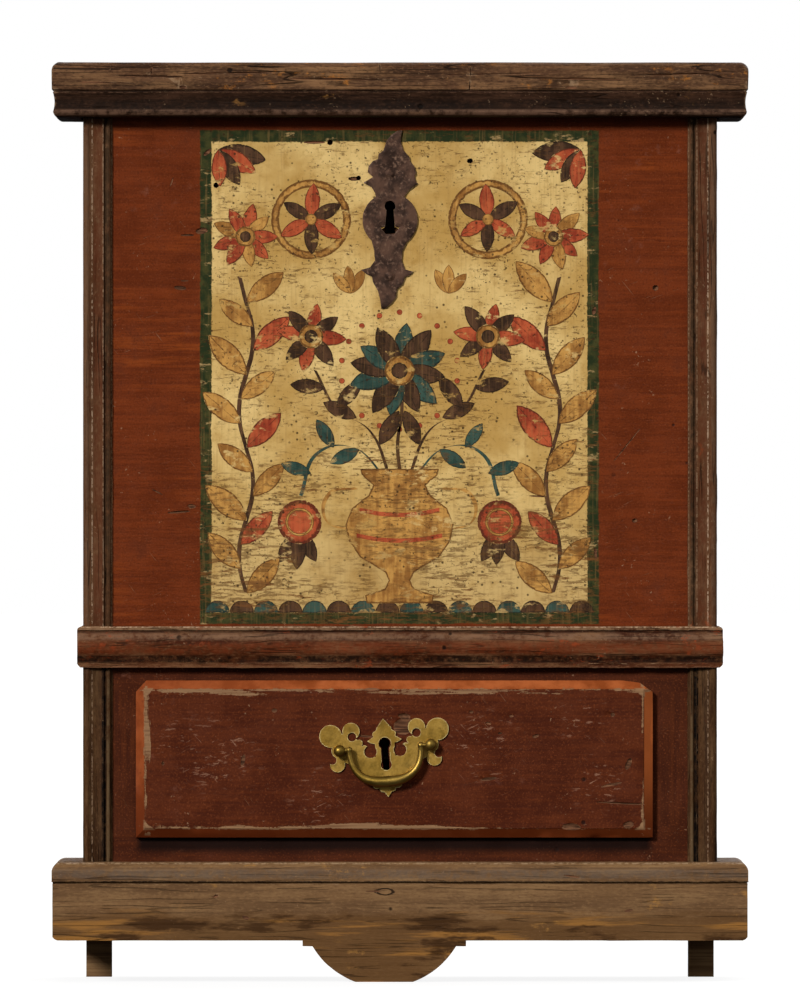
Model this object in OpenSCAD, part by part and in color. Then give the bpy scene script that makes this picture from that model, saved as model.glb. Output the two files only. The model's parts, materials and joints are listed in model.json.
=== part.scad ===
// Small painted chest: a lift-lid chest compartment over one lipped drawer, with moulded lid, waist and base.
// Millimetres. +Z is up, the front faces -Y, and the origin is on the floor under the object's middle.

/* [Case] */
// Width of the case across its sides
case_w = 444; // [420:1:480]
// Depth of the case, front face to back face
case_d = 290; // [260:1:330]
// Height of the chest compartment, top of the waist moulding to the rim
chest_h = 373; // [340:1:420]
// Height of the drawer storey, top of the base to the waist moulding
storey_h = 136; // [130:1:160]
// Thickness of the two side boards
side_t = 18; // [16:0.5:22]
// Thickness of the front board, rails and stiles
front_t = 18; // [16:0.5:22]
// Thickness of the back boards
back_t = 14; // [11:0.5:18]
// Thickness of the chest floor and the case bottom
floor_t = 13; // [10:0.5:16]
// Depth of the housings that hold the floor boards in the sides
housing = 6; // [4:0.5:9]
// Number of dovetails at each front corner
case_tails = 5; // [3:1:7]

/* [Mouldings] */
// How far the lid and the base stand out from the case
overhang = 22; // [18:0.5:28]
// Thickness of the lid board
lid_t = 19.5; // [16:0.5:24]
// Radius of the lid board's rounded upper edge
lid_round = 6; // [3:0.5:9]
// Height of the moulding under the lid
lid_moulding_h = 19; // [15:0.5:24]
// Width of the lid moulding, outer face to inner face
lid_moulding_w = 20; // [15:0.5:21]
// Height of the waist moulding
waist_h = 31; // [26:0.5:38]
// How far the waist moulding stands out from the front board
waist_front = 11; // [9:0.5:15]
// How far the waist moulding stands out from the sides
waist_side = 4.2; // [3.5:0.1:7]
// Width of the upright corner mouldings
corner_w = 20.5; // [18.5:0.5:26]
// How far the corner mouldings stand out from the front board
corner_t = 7; // [6:0.5:9]
// Height of the base boards
base_h = 55; // [48:1:70]
// Height of the rounded bead along the top of the base
base_bead = 14; // [10:0.5:18]

/* [Drop and feet] */
// How far the drop hangs below the base boards
drop_h = 29; // [22:0.5:40]
// Radius of the drop's curve
drop_r = 58.5; // [50:0.5:70]
// Width of the flat that the drop stands on
drop_flat = 40; // [30:1:50]
// Height of the small step above the curve
drop_step = 4; // [2:0.5:6]
// How far the step runs past the curve on each side
drop_step_run = 7; // [4:0.5:10]
// Sideways place of the drop
drop_x = -11; // [-20:1:20]
// Length of the rear feet along the sides
foot_l = 40; // [30:1:80]
// Width of the rear feet, which stand under the side boards
foot_w = 18; // [14:1:40]

/* [Drawer] */
// Distance from each side of the case to the lips of the drawer front
drawer_inset = 41; // [34:0.5:56]
// Distance from the drawer front's upper lip to the waist moulding
drawer_top_gap = 9; // [6:0.5:12]
// Distance from the drawer front's lower lip to the base
drawer_lift = 17; // [15.5:0.5:19]
// Sideways place of the drawer
drawer_x = -4; // [-8:0.5:8]
// How far the lips lie over the frame
lip_over = 8; // [6:0.5:10]
// Thickness of the lips
lip_t = 12; // [9:0.5:14]
// Width of the bevel round the drawer front's face
bevel_w = 6.5; // [4:0.5:8]
// Depth of that bevel
bevel_d = 6; // [4:0.5:8]
// Thickness of the drawer front behind the lips
tongue_t = 12; // [10:0.5:14]
// Thickness of the drawer sides and back
drawer_t = 10; // [8:0.5:13]
// Thickness of the drawer bottom
drawer_bottom_t = 6; // [5:0.5:8]
// Height of the drawer bottom above the drawer's lower edge
drawer_bottom_up = 7; // [5:0.5:10]
// Depth of the grooves that hold the drawer bottom
groove = 5; // [3:0.5:6]
// Free length behind the closed drawer
drawer_free = 16; // [8:1:30]
// Number of dovetails at each drawer corner
drawer_tails = 3; // [2:1:4]

/* [Pull] */
// Distance between the two posts
pull_spacing = 64; // [60:0.5:68]
// Sideways place of the pull on the drawer front
pull_off = -6.5; // [-16:0.5:16]
// Height of the posts above the middle of the drawer front
pull_up = 8; // [4:0.5:12]
// Tilt of the hand-set pull, right end up
pull_tilt = 4; // [0:0.5:6]
// Thickness of the pierced plate
plate_t = 1.6; // [1.2:0.1:2.4]
// Radius of the ball heads
ball_r = 4.2; // [3.8:0.1:4.8]
// Distance from the plate to the middle of the ball heads
ball_out = 5.6; // [5:0.1:8]
// How far the bail hangs below the posts
bail_drop = 23.7; // [21:0.1:27]
// Radius of the bail at its swelled middle
bail_mid_r = 3.8; // [2.8:0.1:4.2]
// Radius of the bail at its ends
bail_end_r = 2.1; // [1.8:0.1:2.4]
// Radius of the bail's pivots
pivot_r = 1.5; // [1.2:0.1:1.8]

/* [Chest lock and key plate] */
// Sideways place of the key plate and the chest lock
lock_x = -7; // [-20:0.5:20]
// Distance from the rim down to the middle of the keyhole
key_drop = 81; // [75:0.5:90]
// Height of the iron key plate
key_plate_h = 125; // [112:1:138]
// Thickness of the iron key plate
key_plate_t = 1.8; // [1.2:0.1:3]
// Radius of the keyholes' round part
keyhole_r = 3.8; // [3.4:0.1:4.2]
// Width of the lock case
lock_w = 84; // [78:1:110]
// Height of the lock case
lock_h = 108; // [104:1:130]
// Depth of the lock case
lock_d = 20; // [20:0.5:26]
// Thickness of the lock's sheet iron
sheet = 2; // [1.5:0.1:2.4]
// Travel of the lock bolt
bolt_throw = 12; // [10:0.5:14]
// Width of the staple under the lid
staple_w = 8; // [6:0.5:9]

/* [Drawer lock] */
// Width of the drawer lock
dlock_w = 46; // [40:1:54]
// Depth of the drawer lock
dlock_d = 10; // [9.5:0.5:12]
// Travel of the drawer lock's bolt
dbolt_throw = 7; // [5:0.5:8]

/* [Hinges] */
// Distance from each side of the case to the middle of the hinge
hinge_inset = 90; // [56:1:130]
// Radius of the hinge knuckles
hinge_r = 5; // [4.5:0.1:6]
// Radius of the hinge pins
hinge_pin_r = 2.2; // [1.8:0.1:2.6]
// Thickness of the wrought straps and leaves
strap_t = 3; // [2.4:0.1:3.6]
// Width of the straps at the knuckles
strap_w = 26; // [23:0.5:34]
// Length of the straps under the lid
strap_l = 190; // [120:1:215]
// Length of the leaves down the back
leaf_l = 68; // [50:1:90]

/* [Fits] */
// Clearance between the rim of the case and the closed lid
lid_gap = 0.3; // [0.2:0.1:0.6]
// Clearance between fixed and sliding wooden pieces
wood_gap = 0.5; // [0.3:0.1:0.8]
// Clearance between moving iron pieces
iron_gap = 0.4; // [0.3:0.1:0.6]
// Radial clearance of the hinge pins and the bail's pivots
pin_gap = 0.06; // [0.03:0.01:0.1]

/* [Hidden] */
$fn = 48;
eps = 1;                                         // overshoot of cutting shapes

// Heights
z_base = drop_h;
z_base_top = z_base + base_h;
z_waist = z_base_top + storey_h;
z_waist_top = z_waist + waist_h;
z_edge = z_waist_top + chest_h;                  // top edge of the case boards
z_rim = z_edge + lid_gap;                        // underside of the lid
z_top = z_rim + lid_t;

// Drawer and its opening
drawer_w = case_w - 2 * drawer_inset;
drawer_front_h = storey_h - drawer_lift - drawer_top_gap;
z_lip = z_base_top + drawer_lift;
z_open = z_lip + lip_over;
z_open_top = z_lip + drawer_front_h - lip_over;
open_w = drawer_w - 2 * lip_over;
box_w = open_w - 2 * wood_gap;
box_z = z_open + wood_gap;
box_h = z_open_top - z_open - 2 * wood_gap;
box_back = case_d - back_t - drawer_free;
half_blind = tongue_t - 3;
inner_w = case_w - 2 * side_t;

// Floors
seam_up = 8;
z_seam = z_waist + seam_up;                      // joint of the upper rail and the front board
z_back_joint = z_seam + floor_t;
rail_low_h = 60;

// Back boards sit in rebates of half the sides' thickness
rebate = side_t / 2;

// Pull, seen from the front of the drawer
pull_x = drawer_x + pull_off;
pull_z = z_lip + drawer_front_h / 2 + pull_up;
plate_unit = pull_spacing / 64;                  // the plate's pattern grows with the spacing of the posts
pull_key_up = 2.8 * plate_unit;
plate_y = -lip_t - plate_t;
ball_y = plate_y - ball_out;
bail_eye_r = bail_end_r + 0.2;
bail_a = pull_spacing / 2 - ball_r - bail_eye_r - iron_gap;
shank_r = 2;
z_key = z_rim - key_drop;

// Chest lock
key_unit = key_plate_h / 125;                    // the key plate's pattern grows with its height
lock_top = z_rim - 5;
lock_in = front_t + sheet;                       // inside face of the lock plate
bolt_y = lock_in + 5;
bolt_d = 6;
bolt_h = 7;
bolt_z = z_rim - 17;
bolt_l = 30;
staple_bar = 2;
staple_gap = 1;
staple_plate = 2.5;
staple_plate_w = 44;
staple_mid_y = bolt_y + bolt_d / 2;

// Hinges
hinge_x = case_w / 2 - hinge_inset;
hinge_y = case_d + hinge_r;
hinge_z = z_rim - hinge_r;
knuckle = strap_w / 3;

// The object's reach, which sets the origin in the middle of its depth
y_front = min(ball_y - ball_r, -overhang);
y_back = case_d + 2 * hinge_r;
origin_y = (y_front + y_back) / 2;

// Nails are wrought: a low rose head on a square shank
nail_head_r = 3.6;
nail_head_h = 1.4;
nail_w = 2.6;
nail_hold = 14;                                  // how far nails reach into the board behind

// Colours as on the object
red_paint = "#6b2a17";
brown_stain = "#3f2e22";
bare_wood = "#8a6b4a";
iron = "#4a4342";
brass = "#a68a3e";

// Shared shapes

// Puts a piece drawn from the front face of the case (y = 0) into the object's own frame.
module placed() {
    translate([0, -origin_y, 0]) children();
}

// The same piece on the left, drawn as its right-hand partner.
module left_hand() {
    mirror([1, 0, 0]) children();
}

// A box from its low corner to its high corner.
module block(low, high) {
    translate(low) cube(high - low);
}

// A profile drawn in depth and height, run along X between two places.
module run_x(from, to) {
    translate([from, 0, 0]) rotate([90, 0, 90]) linear_extrude(to - from) children();
}

// A profile drawn in width and height, run along Y between two places.
module run_y(from, to) {
    translate([0, to, 0]) rotate([90, 0, 0]) linear_extrude(to - from) children();
}

// Dovetails in a row up the Z axis: root at y = 0, wide ends at y = -length, as thick as the board along +X.
dovetail_slope = 0.16;
module tail_row(count, height, length, thickness) {
    pitch = height / count;
    root = pitch * 0.25;
    wide = root + length * dovetail_slope;
    for (i = [0 : count - 1])
        translate([0, 0, (i + 0.5) * pitch])
            run_x(0, thickness)
                polygon([[0, -root], [0, root], [-length, wide], [-length, -wide]]);
}

// A nail driven along -Z with the underside of its head at the origin.
module nail(length) {
    cylinder(h = nail_head_h, r1 = nail_head_r, r2 = nail_head_r * 0.35, $fn = 24);
    translate([-nail_w / 2, -nail_w / 2, -length]) cube([nail_w, nail_w, length]);
}

// A nail driven from the front, from the back, or up from below.
module nail_front(length) {
    rotate([90, 0, 0]) nail(length);
}
module nail_back(length) {
    rotate([-90, 0, 0]) nail(length);
}
module nail_up(length) {
    rotate([180, 0, 0]) nail(length);
}

// A keyhole seen from the front, with the middle of its round part at the origin.
keyhole_l = 19;
keyhole_neck = 4.6;
module keyhole_outline(flare) {
    circle(keyhole_r);
    neck = keyhole_neck / 2;
    polygon([[-neck, 0], [-flare / 2, -keyhole_l], [flare / 2, -keyhole_l], [neck, 0]]);
}

// Mouldings, each drawn as depth from the outer face and height from the lower edge

module base_profile() {
    flat_h = base_h - base_bead;
    bead_r = base_bead * 0.52;
    quirk = 1.4;
    translate([0.6, 0]) square([overhang - 0.6, flat_h - quirk]);
    translate([quirk + 0.8, 0]) square([overhang - quirk - 0.8, flat_h + eps]);
    translate([0, flat_h]) square([overhang, base_bead - bead_r]);
    translate([bead_r, flat_h]) square([overhang - bead_r, base_bead]);
    translate([bead_r, base_h - bead_r]) circle(bead_r);
}

module lid_moulding_profile() {
    foot_r = 4.4;
    foot_in = 1;
    cove_in = 2.1;
    cove_r = lid_moulding_h * 1.1;
    cove_mid = lid_moulding_h * 0.56;
    difference() {
        union() {
            translate([foot_in, foot_r]) square([lid_moulding_w - foot_in, lid_moulding_h - foot_r]);
            translate([foot_in + foot_r, 0]) square([lid_moulding_w - foot_in - foot_r, foot_r + eps]);
            translate([foot_in + foot_r, foot_r]) circle(foot_r);
            polygon([[foot_in, foot_r], [foot_in + eps, foot_r], [foot_in + eps, lid_moulding_h],
                [0.6, lid_moulding_h], [0.6, lid_moulding_h - 3.5]]);
        }
        translate([cove_in - cove_r, cove_mid]) circle(cove_r, $fn = 96);
        translate([-eps, lid_moulding_h - 1]) square([eps + 1.6, 1 + eps]);
    }
}

module waist_profile(reach) {
    bead_h = 4.6;
    fillet_h = 3.6;
    torus_h = waist_h - bead_h - fillet_h;
    torus_r = torus_h * 0.74;
    edge = min(2.4, reach * 0.6);
    intersection() {
        translate([torus_r, fillet_h + torus_h * 0.52]) circle(torus_r, $fn = 96);
        translate([0, fillet_h]) square([reach, torus_h]);
    }
    translate([edge, 0]) square([reach - edge, waist_h]);
    translate([edge - 1.4, waist_h - bead_h + 0.8]) square([1.4 + eps / 2, bead_h - 2.2]);
    translate([edge - 0.8, 0]) square([0.8 + eps / 2, fillet_h - 0.8]);
}

module corner_profile() {
    bead_r = 3.2;
    cove_r = 11;
    ridge = corner_w - 6.2;
    reed_r = 1.7;
    difference() {
        union() {
            translate([0, 0]) square([ridge, corner_t - bead_r]);
            translate([bead_r, corner_t - bead_r]) circle(bead_r);
            translate([bead_r, 0]) square([ridge - bead_r, corner_t - 1]);
        }
        translate([(bead_r * 2 + ridge) / 2, corner_t - 2.6 + cove_r]) circle(cove_r, $fn = 96);
    }
    translate([ridge - 0.5, 0]) square([corner_w - ridge - 1.2, corner_t * 0.42]);
    translate([corner_w - reed_r - 1.2, corner_t * 0.38]) circle(reed_r);
    square([corner_w, corner_t * 0.2]);
}

// Plan of three mitred runs round the front and sides; width is each run's own, reach is where the back ends.
module mitre_front(outer_w, front, width) {
    polygon([[-outer_w / 2, front], [outer_w / 2, front], [outer_w / 2 - width, front + width],
        [-outer_w / 2 + width, front + width]]);
}
module mitre_side(outer_w, front, width, back) {
    polygon([[outer_w / 2, front], [outer_w / 2, back], [outer_w / 2 - width, back],
        [outer_w / 2 - width, front + width]]);
}

// Case boards

module side() {
    x0 = case_w / 2 - side_t;
    front_board_h = z_edge - z_seam;
    color(red_paint) placed() difference() {
        union() {
            block([x0, 0, z_base], [case_w / 2, case_d, z_seam]);
            block([x0, front_t, z_seam], [case_w / 2, case_d, z_edge]);
            translate([x0, front_t, z_seam]) tail_row(case_tails, front_board_h, front_t, side_t);
        }
        // housings for the chest floor and the case bottom
        block([x0 - eps, front_t, z_seam], [x0 + housing, case_d - back_t, z_seam + floor_t]);
        block([x0 - eps, front_t, z_open - floor_t], [x0 + housing, case_d - back_t, z_open]);
        // rebate for the back boards
        block([x0 - eps, case_d - back_t, z_base - eps], [x0 + rebate, case_d + eps, z_edge + eps]);
        back_nail_row();
    }
}
module side_right() {
    side();
}
module side_left() {
    left_hand() side();
}

module front_board() {
    front_board_h = z_edge - z_seam;
    color(red_paint) placed() difference() {
        block([-case_w / 2, 0, z_seam], [case_w / 2, front_t, z_edge]);
        for (hand = [0, 1])
            mirror([hand, 0, 0]) translate([case_w / 2 - side_t, front_t, z_seam])
                tail_row(case_tails, front_board_h, front_t, side_t);
        translate([lock_x, 0, z_key]) run_y(-eps, front_t + eps) keyhole_outline(keyhole_r * 2);
        key_plate_nail_set();
        lock_nail_set();
    }
}

module back_board_upper() {
    half = case_w / 2 - side_t + rebate - wood_gap;
    color(bare_wood) placed() difference() {
        block([-half, case_d - back_t, z_back_joint], [half, case_d, z_edge]);
        // notches that let the straps pass to the hinges
        for (x = [-hinge_x, hinge_x])
            block([x - strap_w / 2 - wood_gap, case_d - back_t - eps, z_rim - strap_t - iron_gap],
                [x + strap_w / 2 + wood_gap, case_d + eps, z_rim + eps]);
        hinge_leaf_nail_set();
        back_nail_sides();
    }
}

module back_board_lower() {
    half = case_w / 2 - side_t + rebate - wood_gap;
    color(bare_wood) placed() difference() {
        block([-half, case_d - back_t, z_base], [half, case_d, z_back_joint - wood_gap]);
        back_nail_sides();
    }
}

module chest_floor() {
    half = inner_w / 2 + housing;
    color(bare_wood) placed() block([-half, front_t, z_seam], [half, case_d - back_t, z_seam + floor_t]);
}

module case_bottom() {
    half = inner_w / 2 + housing;
    color(bare_wood) placed() block([-half, front_t, z_open - floor_t], [half, case_d - back_t, z_open]);
}

// Drawer frame

module rail_upper() {
    mortise_gap = iron_gap + 0.2;
    color(red_paint) placed() difference() {
        block([-inner_w / 2, 0, z_open_top], [inner_w / 2, front_t, z_seam]);
        // mortise for the drawer lock's bolt
        block([pull_x - dbolt_w / 2 - mortise_gap, dbolt_y - mortise_gap, z_open_top - eps],
            [pull_x + dbolt_w / 2 + mortise_gap, dbolt_y + dbolt_t + mortise_gap,
                z_open_top + dbolt_throw + 2]);
    }
}

module rail_lower() {
    color(red_paint) placed() block([-inner_w / 2, 0, z_open - rail_low_h], [inner_w / 2, front_t, z_open]);
}

module stile_right() {
    color(red_paint) placed() block([drawer_x + open_w / 2, 0, z_open], [inner_w / 2, front_t, z_open_top]);
}
module stile_left() {
    color(red_paint) placed() block([-inner_w / 2, 0, z_open], [drawer_x - open_w / 2, front_t, z_open_top]);
}

// Guides keep the drawer straight, kickers keep it from tipping.
guide_h = 16;
module drawer_guide(shift) {
    color(bare_wood) placed()
        block([shift + open_w / 2, front_t, z_open], [inner_w / 2, case_d - back_t, z_open + guide_h]);
}
module drawer_guide_left() {
    left_hand() drawer_guide(-drawer_x);
}
module drawer_guide_right() {
    drawer_guide(drawer_x);
}

kicker_w = 15;
module drawer_kicker(shift) {
    x1 = shift + open_w / 2;
    color(bare_wood) placed()
        block([x1 - kicker_w, front_t, z_open_top], [x1, case_d - back_t, z_seam]);
}
module drawer_kicker_left() {
    left_hand() drawer_kicker(-drawer_x);
}
module drawer_kicker_right() {
    drawer_kicker(drawer_x);
}

// Applied mouldings

module corner_moulding(low, high) {
    color(brown_stain) placed() translate([case_w / 2, 0, low]) linear_extrude(high - low)
        mirror([1, 0]) mirror([0, 1]) corner_profile();
}
module corner_moulding_upper_right() {
    corner_moulding(z_waist_top, z_rim - lid_moulding_h - wood_gap);
}
module corner_moulding_upper_left() {
    left_hand() corner_moulding_upper_right();
}
module corner_moulding_lower_right() {
    corner_moulding(z_base_top, z_waist);
}
module corner_moulding_lower_left() {
    left_hand() corner_moulding_lower_right();
}

module waist_moulding_front() {
    half = case_w / 2 + waist_side;
    end_r = waist_side * 0.9;
    color(brown_stain) placed() intersection() {
        translate([0, -waist_front, z_waist]) run_x(-half, half) waist_profile(waist_front);
        // the ends are eased all round, as hand-worn mouldings are
        run_y(-waist_front - eps, eps) union() {
            block_half = half - end_r;
            translate([-block_half, z_waist]) square([2 * block_half, waist_h]);
            translate([-half, z_waist + end_r]) square([2 * half, waist_h - 2 * end_r]);
            for (x = [-block_half, block_half], z = [z_waist + end_r, z_waist_top - end_r])
                translate([x, z]) circle(end_r);
        }
    }
}

module waist_moulding_right() {
    color(brown_stain) placed() translate([case_w / 2 + waist_side, 0, z_waist]) mirror([1, 0, 0])
        run_y(0, case_d) waist_profile(waist_side);
}
module waist_moulding_left() {
    left_hand() waist_moulding_right();
}

// Base with its drop

base_w = case_w + 2 * overhang;

module drop_outline() {
    centre_z = sqrt(drop_r * drop_r - drop_flat * drop_flat / 4);
    curve_top = z_base - drop_step;
    curve_half = sqrt(drop_r * drop_r - pow(centre_z - curve_top, 2));
    step_half = curve_half + drop_step_run;
    intersection() {
        translate([0, centre_z]) circle(drop_r, $fn = 128);
        translate([-drop_r, 0]) square([2 * drop_r, curve_top + eps / 2]);
    }
    translate([-step_half, curve_top]) square([2 * step_half, drop_step + eps]);
}

module base_front() {
    color(brown_stain) placed() {
        intersection() {
            translate([0, -overhang, z_base]) run_x(-base_w / 2, base_w / 2) base_profile();
            translate([0, 0, z_base]) linear_extrude(base_h) mitre_front(base_w, -overhang, overhang);
        }
        translate([drop_x, 0, 0]) run_y(-overhang + 0.6, 0) drop_outline();
    }
}

module base_right() {
    color(brown_stain) placed() intersection() {
        translate([base_w / 2, 0, z_base]) mirror([1, 0, 0]) run_y(-overhang, case_d) base_profile();
        translate([0, 0, z_base]) linear_extrude(base_h) mitre_side(base_w, -overhang, overhang, case_d);
    }
}
module base_left() {
    left_hand() base_right();
}

module rear_foot() {
    color(bare_wood) placed()
        block([case_w / 2 - foot_w, case_d - foot_l, 0], [case_w / 2, case_d, z_base]);
}
module rear_foot_right() {
    rear_foot();
}
module rear_foot_left() {
    left_hand() rear_foot();
}

// Lid

lid_w = case_w + 2 * overhang;

module lid_board() {
    color(brown_stain) placed() difference() {
        intersection() {
            run_x(-lid_w / 2, lid_w / 2) {
                translate([-overhang, z_rim]) square([case_d + overhang, lid_t - lid_round]);
                translate([-overhang + lid_round, z_rim]) square([case_d + overhang - lid_round, lid_t]);
                translate([-overhang + lid_round, z_top - lid_round]) circle(lid_round);
            }
            run_y(-overhang, case_d) {
                translate([-lid_w / 2, z_rim]) square([lid_w, lid_t - lid_round]);
                translate([-lid_w / 2 + lid_round, z_rim]) square([lid_w - 2 * lid_round, lid_t]);
                for (x = [-1, 1])
                    translate([x * (lid_w / 2 - lid_round), z_top - lid_round]) circle(lid_round);
            }
        }
        lid_nail_set();
    }
}

module lid_moulding_front() {
    color(brown_stain) placed() intersection() {
        translate([0, -overhang, z_rim - lid_moulding_h]) run_x(-lid_w / 2, lid_w / 2) lid_moulding_profile();
        translate([0, 0, z_rim - lid_moulding_h]) linear_extrude(lid_moulding_h)
            mitre_front(lid_w, -overhang, lid_moulding_w);
    }
}

module lid_moulding_right() {
    color(brown_stain) placed() intersection() {
        translate([lid_w / 2, 0, z_rim - lid_moulding_h]) mirror([1, 0, 0])
            run_y(-overhang, case_d) lid_moulding_profile();
        translate([0, 0, z_rim - lid_moulding_h]) linear_extrude(lid_moulding_h)
            mitre_side(lid_w, -overhang, lid_moulding_w, case_d);
    }
}
module lid_moulding_left() {
    left_hand() lid_moulding_right();
}

// Hinges: a strap under the lid, a leaf down the back, and a pin through three knuckles

strap_end_w = 13;
module strap_outline() {
    root_y = case_d - iron_gap;
    end_y = case_d - strap_l;
    end_r = strap_end_w * 0.75;
    polygon([[-strap_end_w / 2, end_y], [strap_end_w / 2, end_y], [strap_w / 2, root_y],
        [-strap_w / 2, root_y]]);
    translate([0, end_y]) circle(end_r);
}

module hinge_strap(x) {
    neck = knuckle - 2 * iron_gap;
    color(iron) placed() difference() {
        union() {
            translate([x, 0, z_rim - strap_t]) linear_extrude(strap_t) strap_outline();
            block([x - neck / 2, case_d - 2, z_rim - strap_t], [x + neck / 2, hinge_y, z_rim]);
            translate([x - neck / 2, hinge_y, hinge_z]) rotate([0, 90, 0]) cylinder(r = hinge_r, h = neck);
        }
        translate([x - neck, hinge_y, hinge_z]) rotate([0, 90, 0])
            cylinder(r = hinge_pin_r + pin_gap, h = 2 * neck);
        lid_nail_set();
    }
}
module hinge_strap_left() {
    hinge_strap(-hinge_x);
}
module hinge_strap_right() {
    hinge_strap(hinge_x);
}

module hinge_leaf(x) {
    color(iron) placed() difference() {
        union() {
            block([x - strap_w / 2, case_d, hinge_z - leaf_l], [x + strap_w / 2, case_d + strap_t, hinge_z]);
            translate([x - strap_w / 2, hinge_y, hinge_z]) rotate([0, 90, 0])
                cylinder(r = hinge_r, h = strap_w);
        }
        translate([x - strap_w, hinge_y, hinge_z]) rotate([0, 90, 0])
            cylinder(r = hinge_pin_r, h = 2 * strap_w);
        // room for the strap's own knuckle
        translate([x - knuckle / 2, hinge_y, hinge_z]) rotate([0, 90, 0])
            cylinder(r = hinge_r + iron_gap, h = knuckle);
        block([x - knuckle / 2, case_d - eps, hinge_z - iron_gap],
            [x + knuckle / 2, hinge_y + hinge_r + eps, z_rim]);
        hinge_leaf_nail_set();
    }
}
module hinge_leaf_left() {
    hinge_leaf(-hinge_x);
}
module hinge_leaf_right() {
    hinge_leaf(hinge_x);
}

module hinge_pins() {
    head = 1.2;
    color(iron) placed() for (x = [-hinge_x, hinge_x])
        translate([x - strap_w / 2 - head, hinge_y, hinge_z]) rotate([0, 90, 0]) {
            cylinder(r = hinge_pin_r, h = strap_w + 2 * head);
            for (end = [0, strap_w + head])
                translate([0, 0, end]) cylinder(r = hinge_pin_r + 0.9, h = head);
        }
}

// Nails

strap_nail_in = 14;
staple_nail_in = 6;
module lid_nail_set() {
    nails = 4;
    first_y = case_d - back_t - strap_nail_in;
    pitch = (first_y - case_d + strap_l) / (nails - 1);
    for (x = [-hinge_x, hinge_x], i = [0 : nails - 1])
        translate([x, first_y - i * pitch, z_rim - strap_t]) nail_up(strap_t + lid_t * 0.7);
    for (hand = [-1, 1])
        translate([lock_x + hand * (staple_plate_w / 2 - staple_nail_in), staple_mid_y, z_rim - staple_plate])
            nail_up(staple_plate + lid_t * 0.7);
}
module lid_nails() {
    color(iron) placed() lid_nail_set();
}

leaf_nail_low = 10;
leaf_nail_high = 18;
leaf_nail_side = 5;
module hinge_leaf_nail_set() {
    nails = 3;
    low = hinge_z - leaf_l + leaf_nail_low;
    pitch = (leaf_l - leaf_nail_low - leaf_nail_high) / (nails - 1);
    for (x = [-hinge_x, hinge_x], i = [0 : nails - 1])
        translate([x + (i == 1 ? leaf_nail_side : -leaf_nail_side), case_d + strap_t, low + i * pitch])
            nail_back(strap_t + back_t * 0.8);
}
module hinge_leaf_nails() {
    color(iron) placed() hinge_leaf_nail_set();
}

back_nail_in = 40;
module back_nail_row() {
    nails = 6;
    x = case_w / 2 - side_t + rebate / 2 - wood_gap / 2;
    low = z_base + back_nail_in;
    high = z_edge - back_nail_in;
    for (i = [0 : nails - 1])
        translate([x, case_d, low + i * (high - low) / (nails - 1)]) nail_back(back_t + nail_hold);
}
module back_nail_sides() {
    for (hand = [0, 1])
        mirror([hand, 0, 0]) back_nail_row();
}
module back_nails() {
    color(iron) placed() back_nail_sides();
}

// Key plate of wrought sheet iron: a leaf above, a round body with the keyhole, and a smaller leaf below

module key_plate_outline() {
    body_r = 19.3 * key_unit;
    body_z = -10 * key_unit;
    translate([0, body_z]) circle(body_r);
    // neck and upper leaf, with lobes, cusps and a tip that leans over
    polygon(key_unit * [[-9.8, 4], [9.8, 4], [10.6, 7.5], [13.4, 11.4], [19.5, 15.8], [18, 17.5],
        [17.4, 20.5], [18.4, 23.5], [17, 27.5], [14, 31.5], [13.6, 34.4], [9.6, 39], [8, 43.5], [7.6, 48],
        [8.6, 53], [5.2, 52.6], [1.4, 50.4], [-2, 46.6], [-3.6, 42.8], [-4.6, 39], [-8.2, 36.4], [-8.4, 33],
        [-12, 31.6], [-15.2, 28], [-15.6, 23.8], [-12, 20.4], [-18.6, 16.4], [-13, 13.2], [-10.4, 9]]);
    // lower leaf with two ears and a tip
    polygon(key_unit * [[-13.5, -22], [-11.2, -31], [-10.6, -38], [-14, -42.8], [-20.3, -44.6],
        [-16.6, -47.6], [-12.6, -49.4], [-12.2, -53], [-8.4, -59.6], [-6.8, -66], [-6.2, -72], [-3, -71.6],
        [1.4, -67.6], [4.4, -63.6], [4.8, -58.4], [9, -54.6], [10.6, -49.6], [14, -48.4], [16.4, -45.8],
        [10.4, -44.4], [8.2, -38], [9, -31], [13.5, -22]]);
}

key_plate_nail_z = key_unit * [22.6, -49];
module key_plate_nail_set() {
    for (z = key_plate_nail_z)
        translate([lock_x, -key_plate_t, z_key + z]) nail_front(key_plate_t + front_t * 0.6);
}
module key_plate_nails() {
    color(iron) placed() key_plate_nail_set();
}
module key_plate() {
    color(iron) placed() difference() {
        translate([lock_x, 0, z_key]) run_y(-key_plate_t, 0) difference() {
            key_plate_outline();
            keyhole_outline(keyhole_r * 2);
            // the keyhole's foot is flared to pass the key's bit
            translate([0, -keyhole_l])
                polygon(keyhole_r * [[-0.8, -0.16], [0.8, -0.16], [1.8, 1.2], [-1.8, 1.2]]);
        }
        key_plate_nail_set();
    }
}

// Chest lock: plate, case, bolt with its tail, spring, and the staple that the lid brings down

lock_flange = 8;
module lock_plate() {
    color(iron) placed() difference() {
        block([lock_x - lock_w / 2 - lock_flange, front_t, lock_top - lock_h - lock_flange],
            [lock_x + lock_w / 2 + lock_flange, lock_in, lock_top]);
        translate([lock_x, 0, z_key]) run_y(front_t - eps, lock_in + eps) keyhole_outline(keyhole_r * 2);
        lock_nail_set();
    }
}

module lock_nail_set() {
    for (hand = [-1, 1], z = [lock_top - 9, lock_top - lock_h + 9])
        translate([lock_x + hand * (lock_w + lock_flange) / 2, lock_in, z]) nail_back(sheet + front_t * 0.6);
}
module lock_nails() {
    color(iron) placed() lock_nail_set();
}

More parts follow.
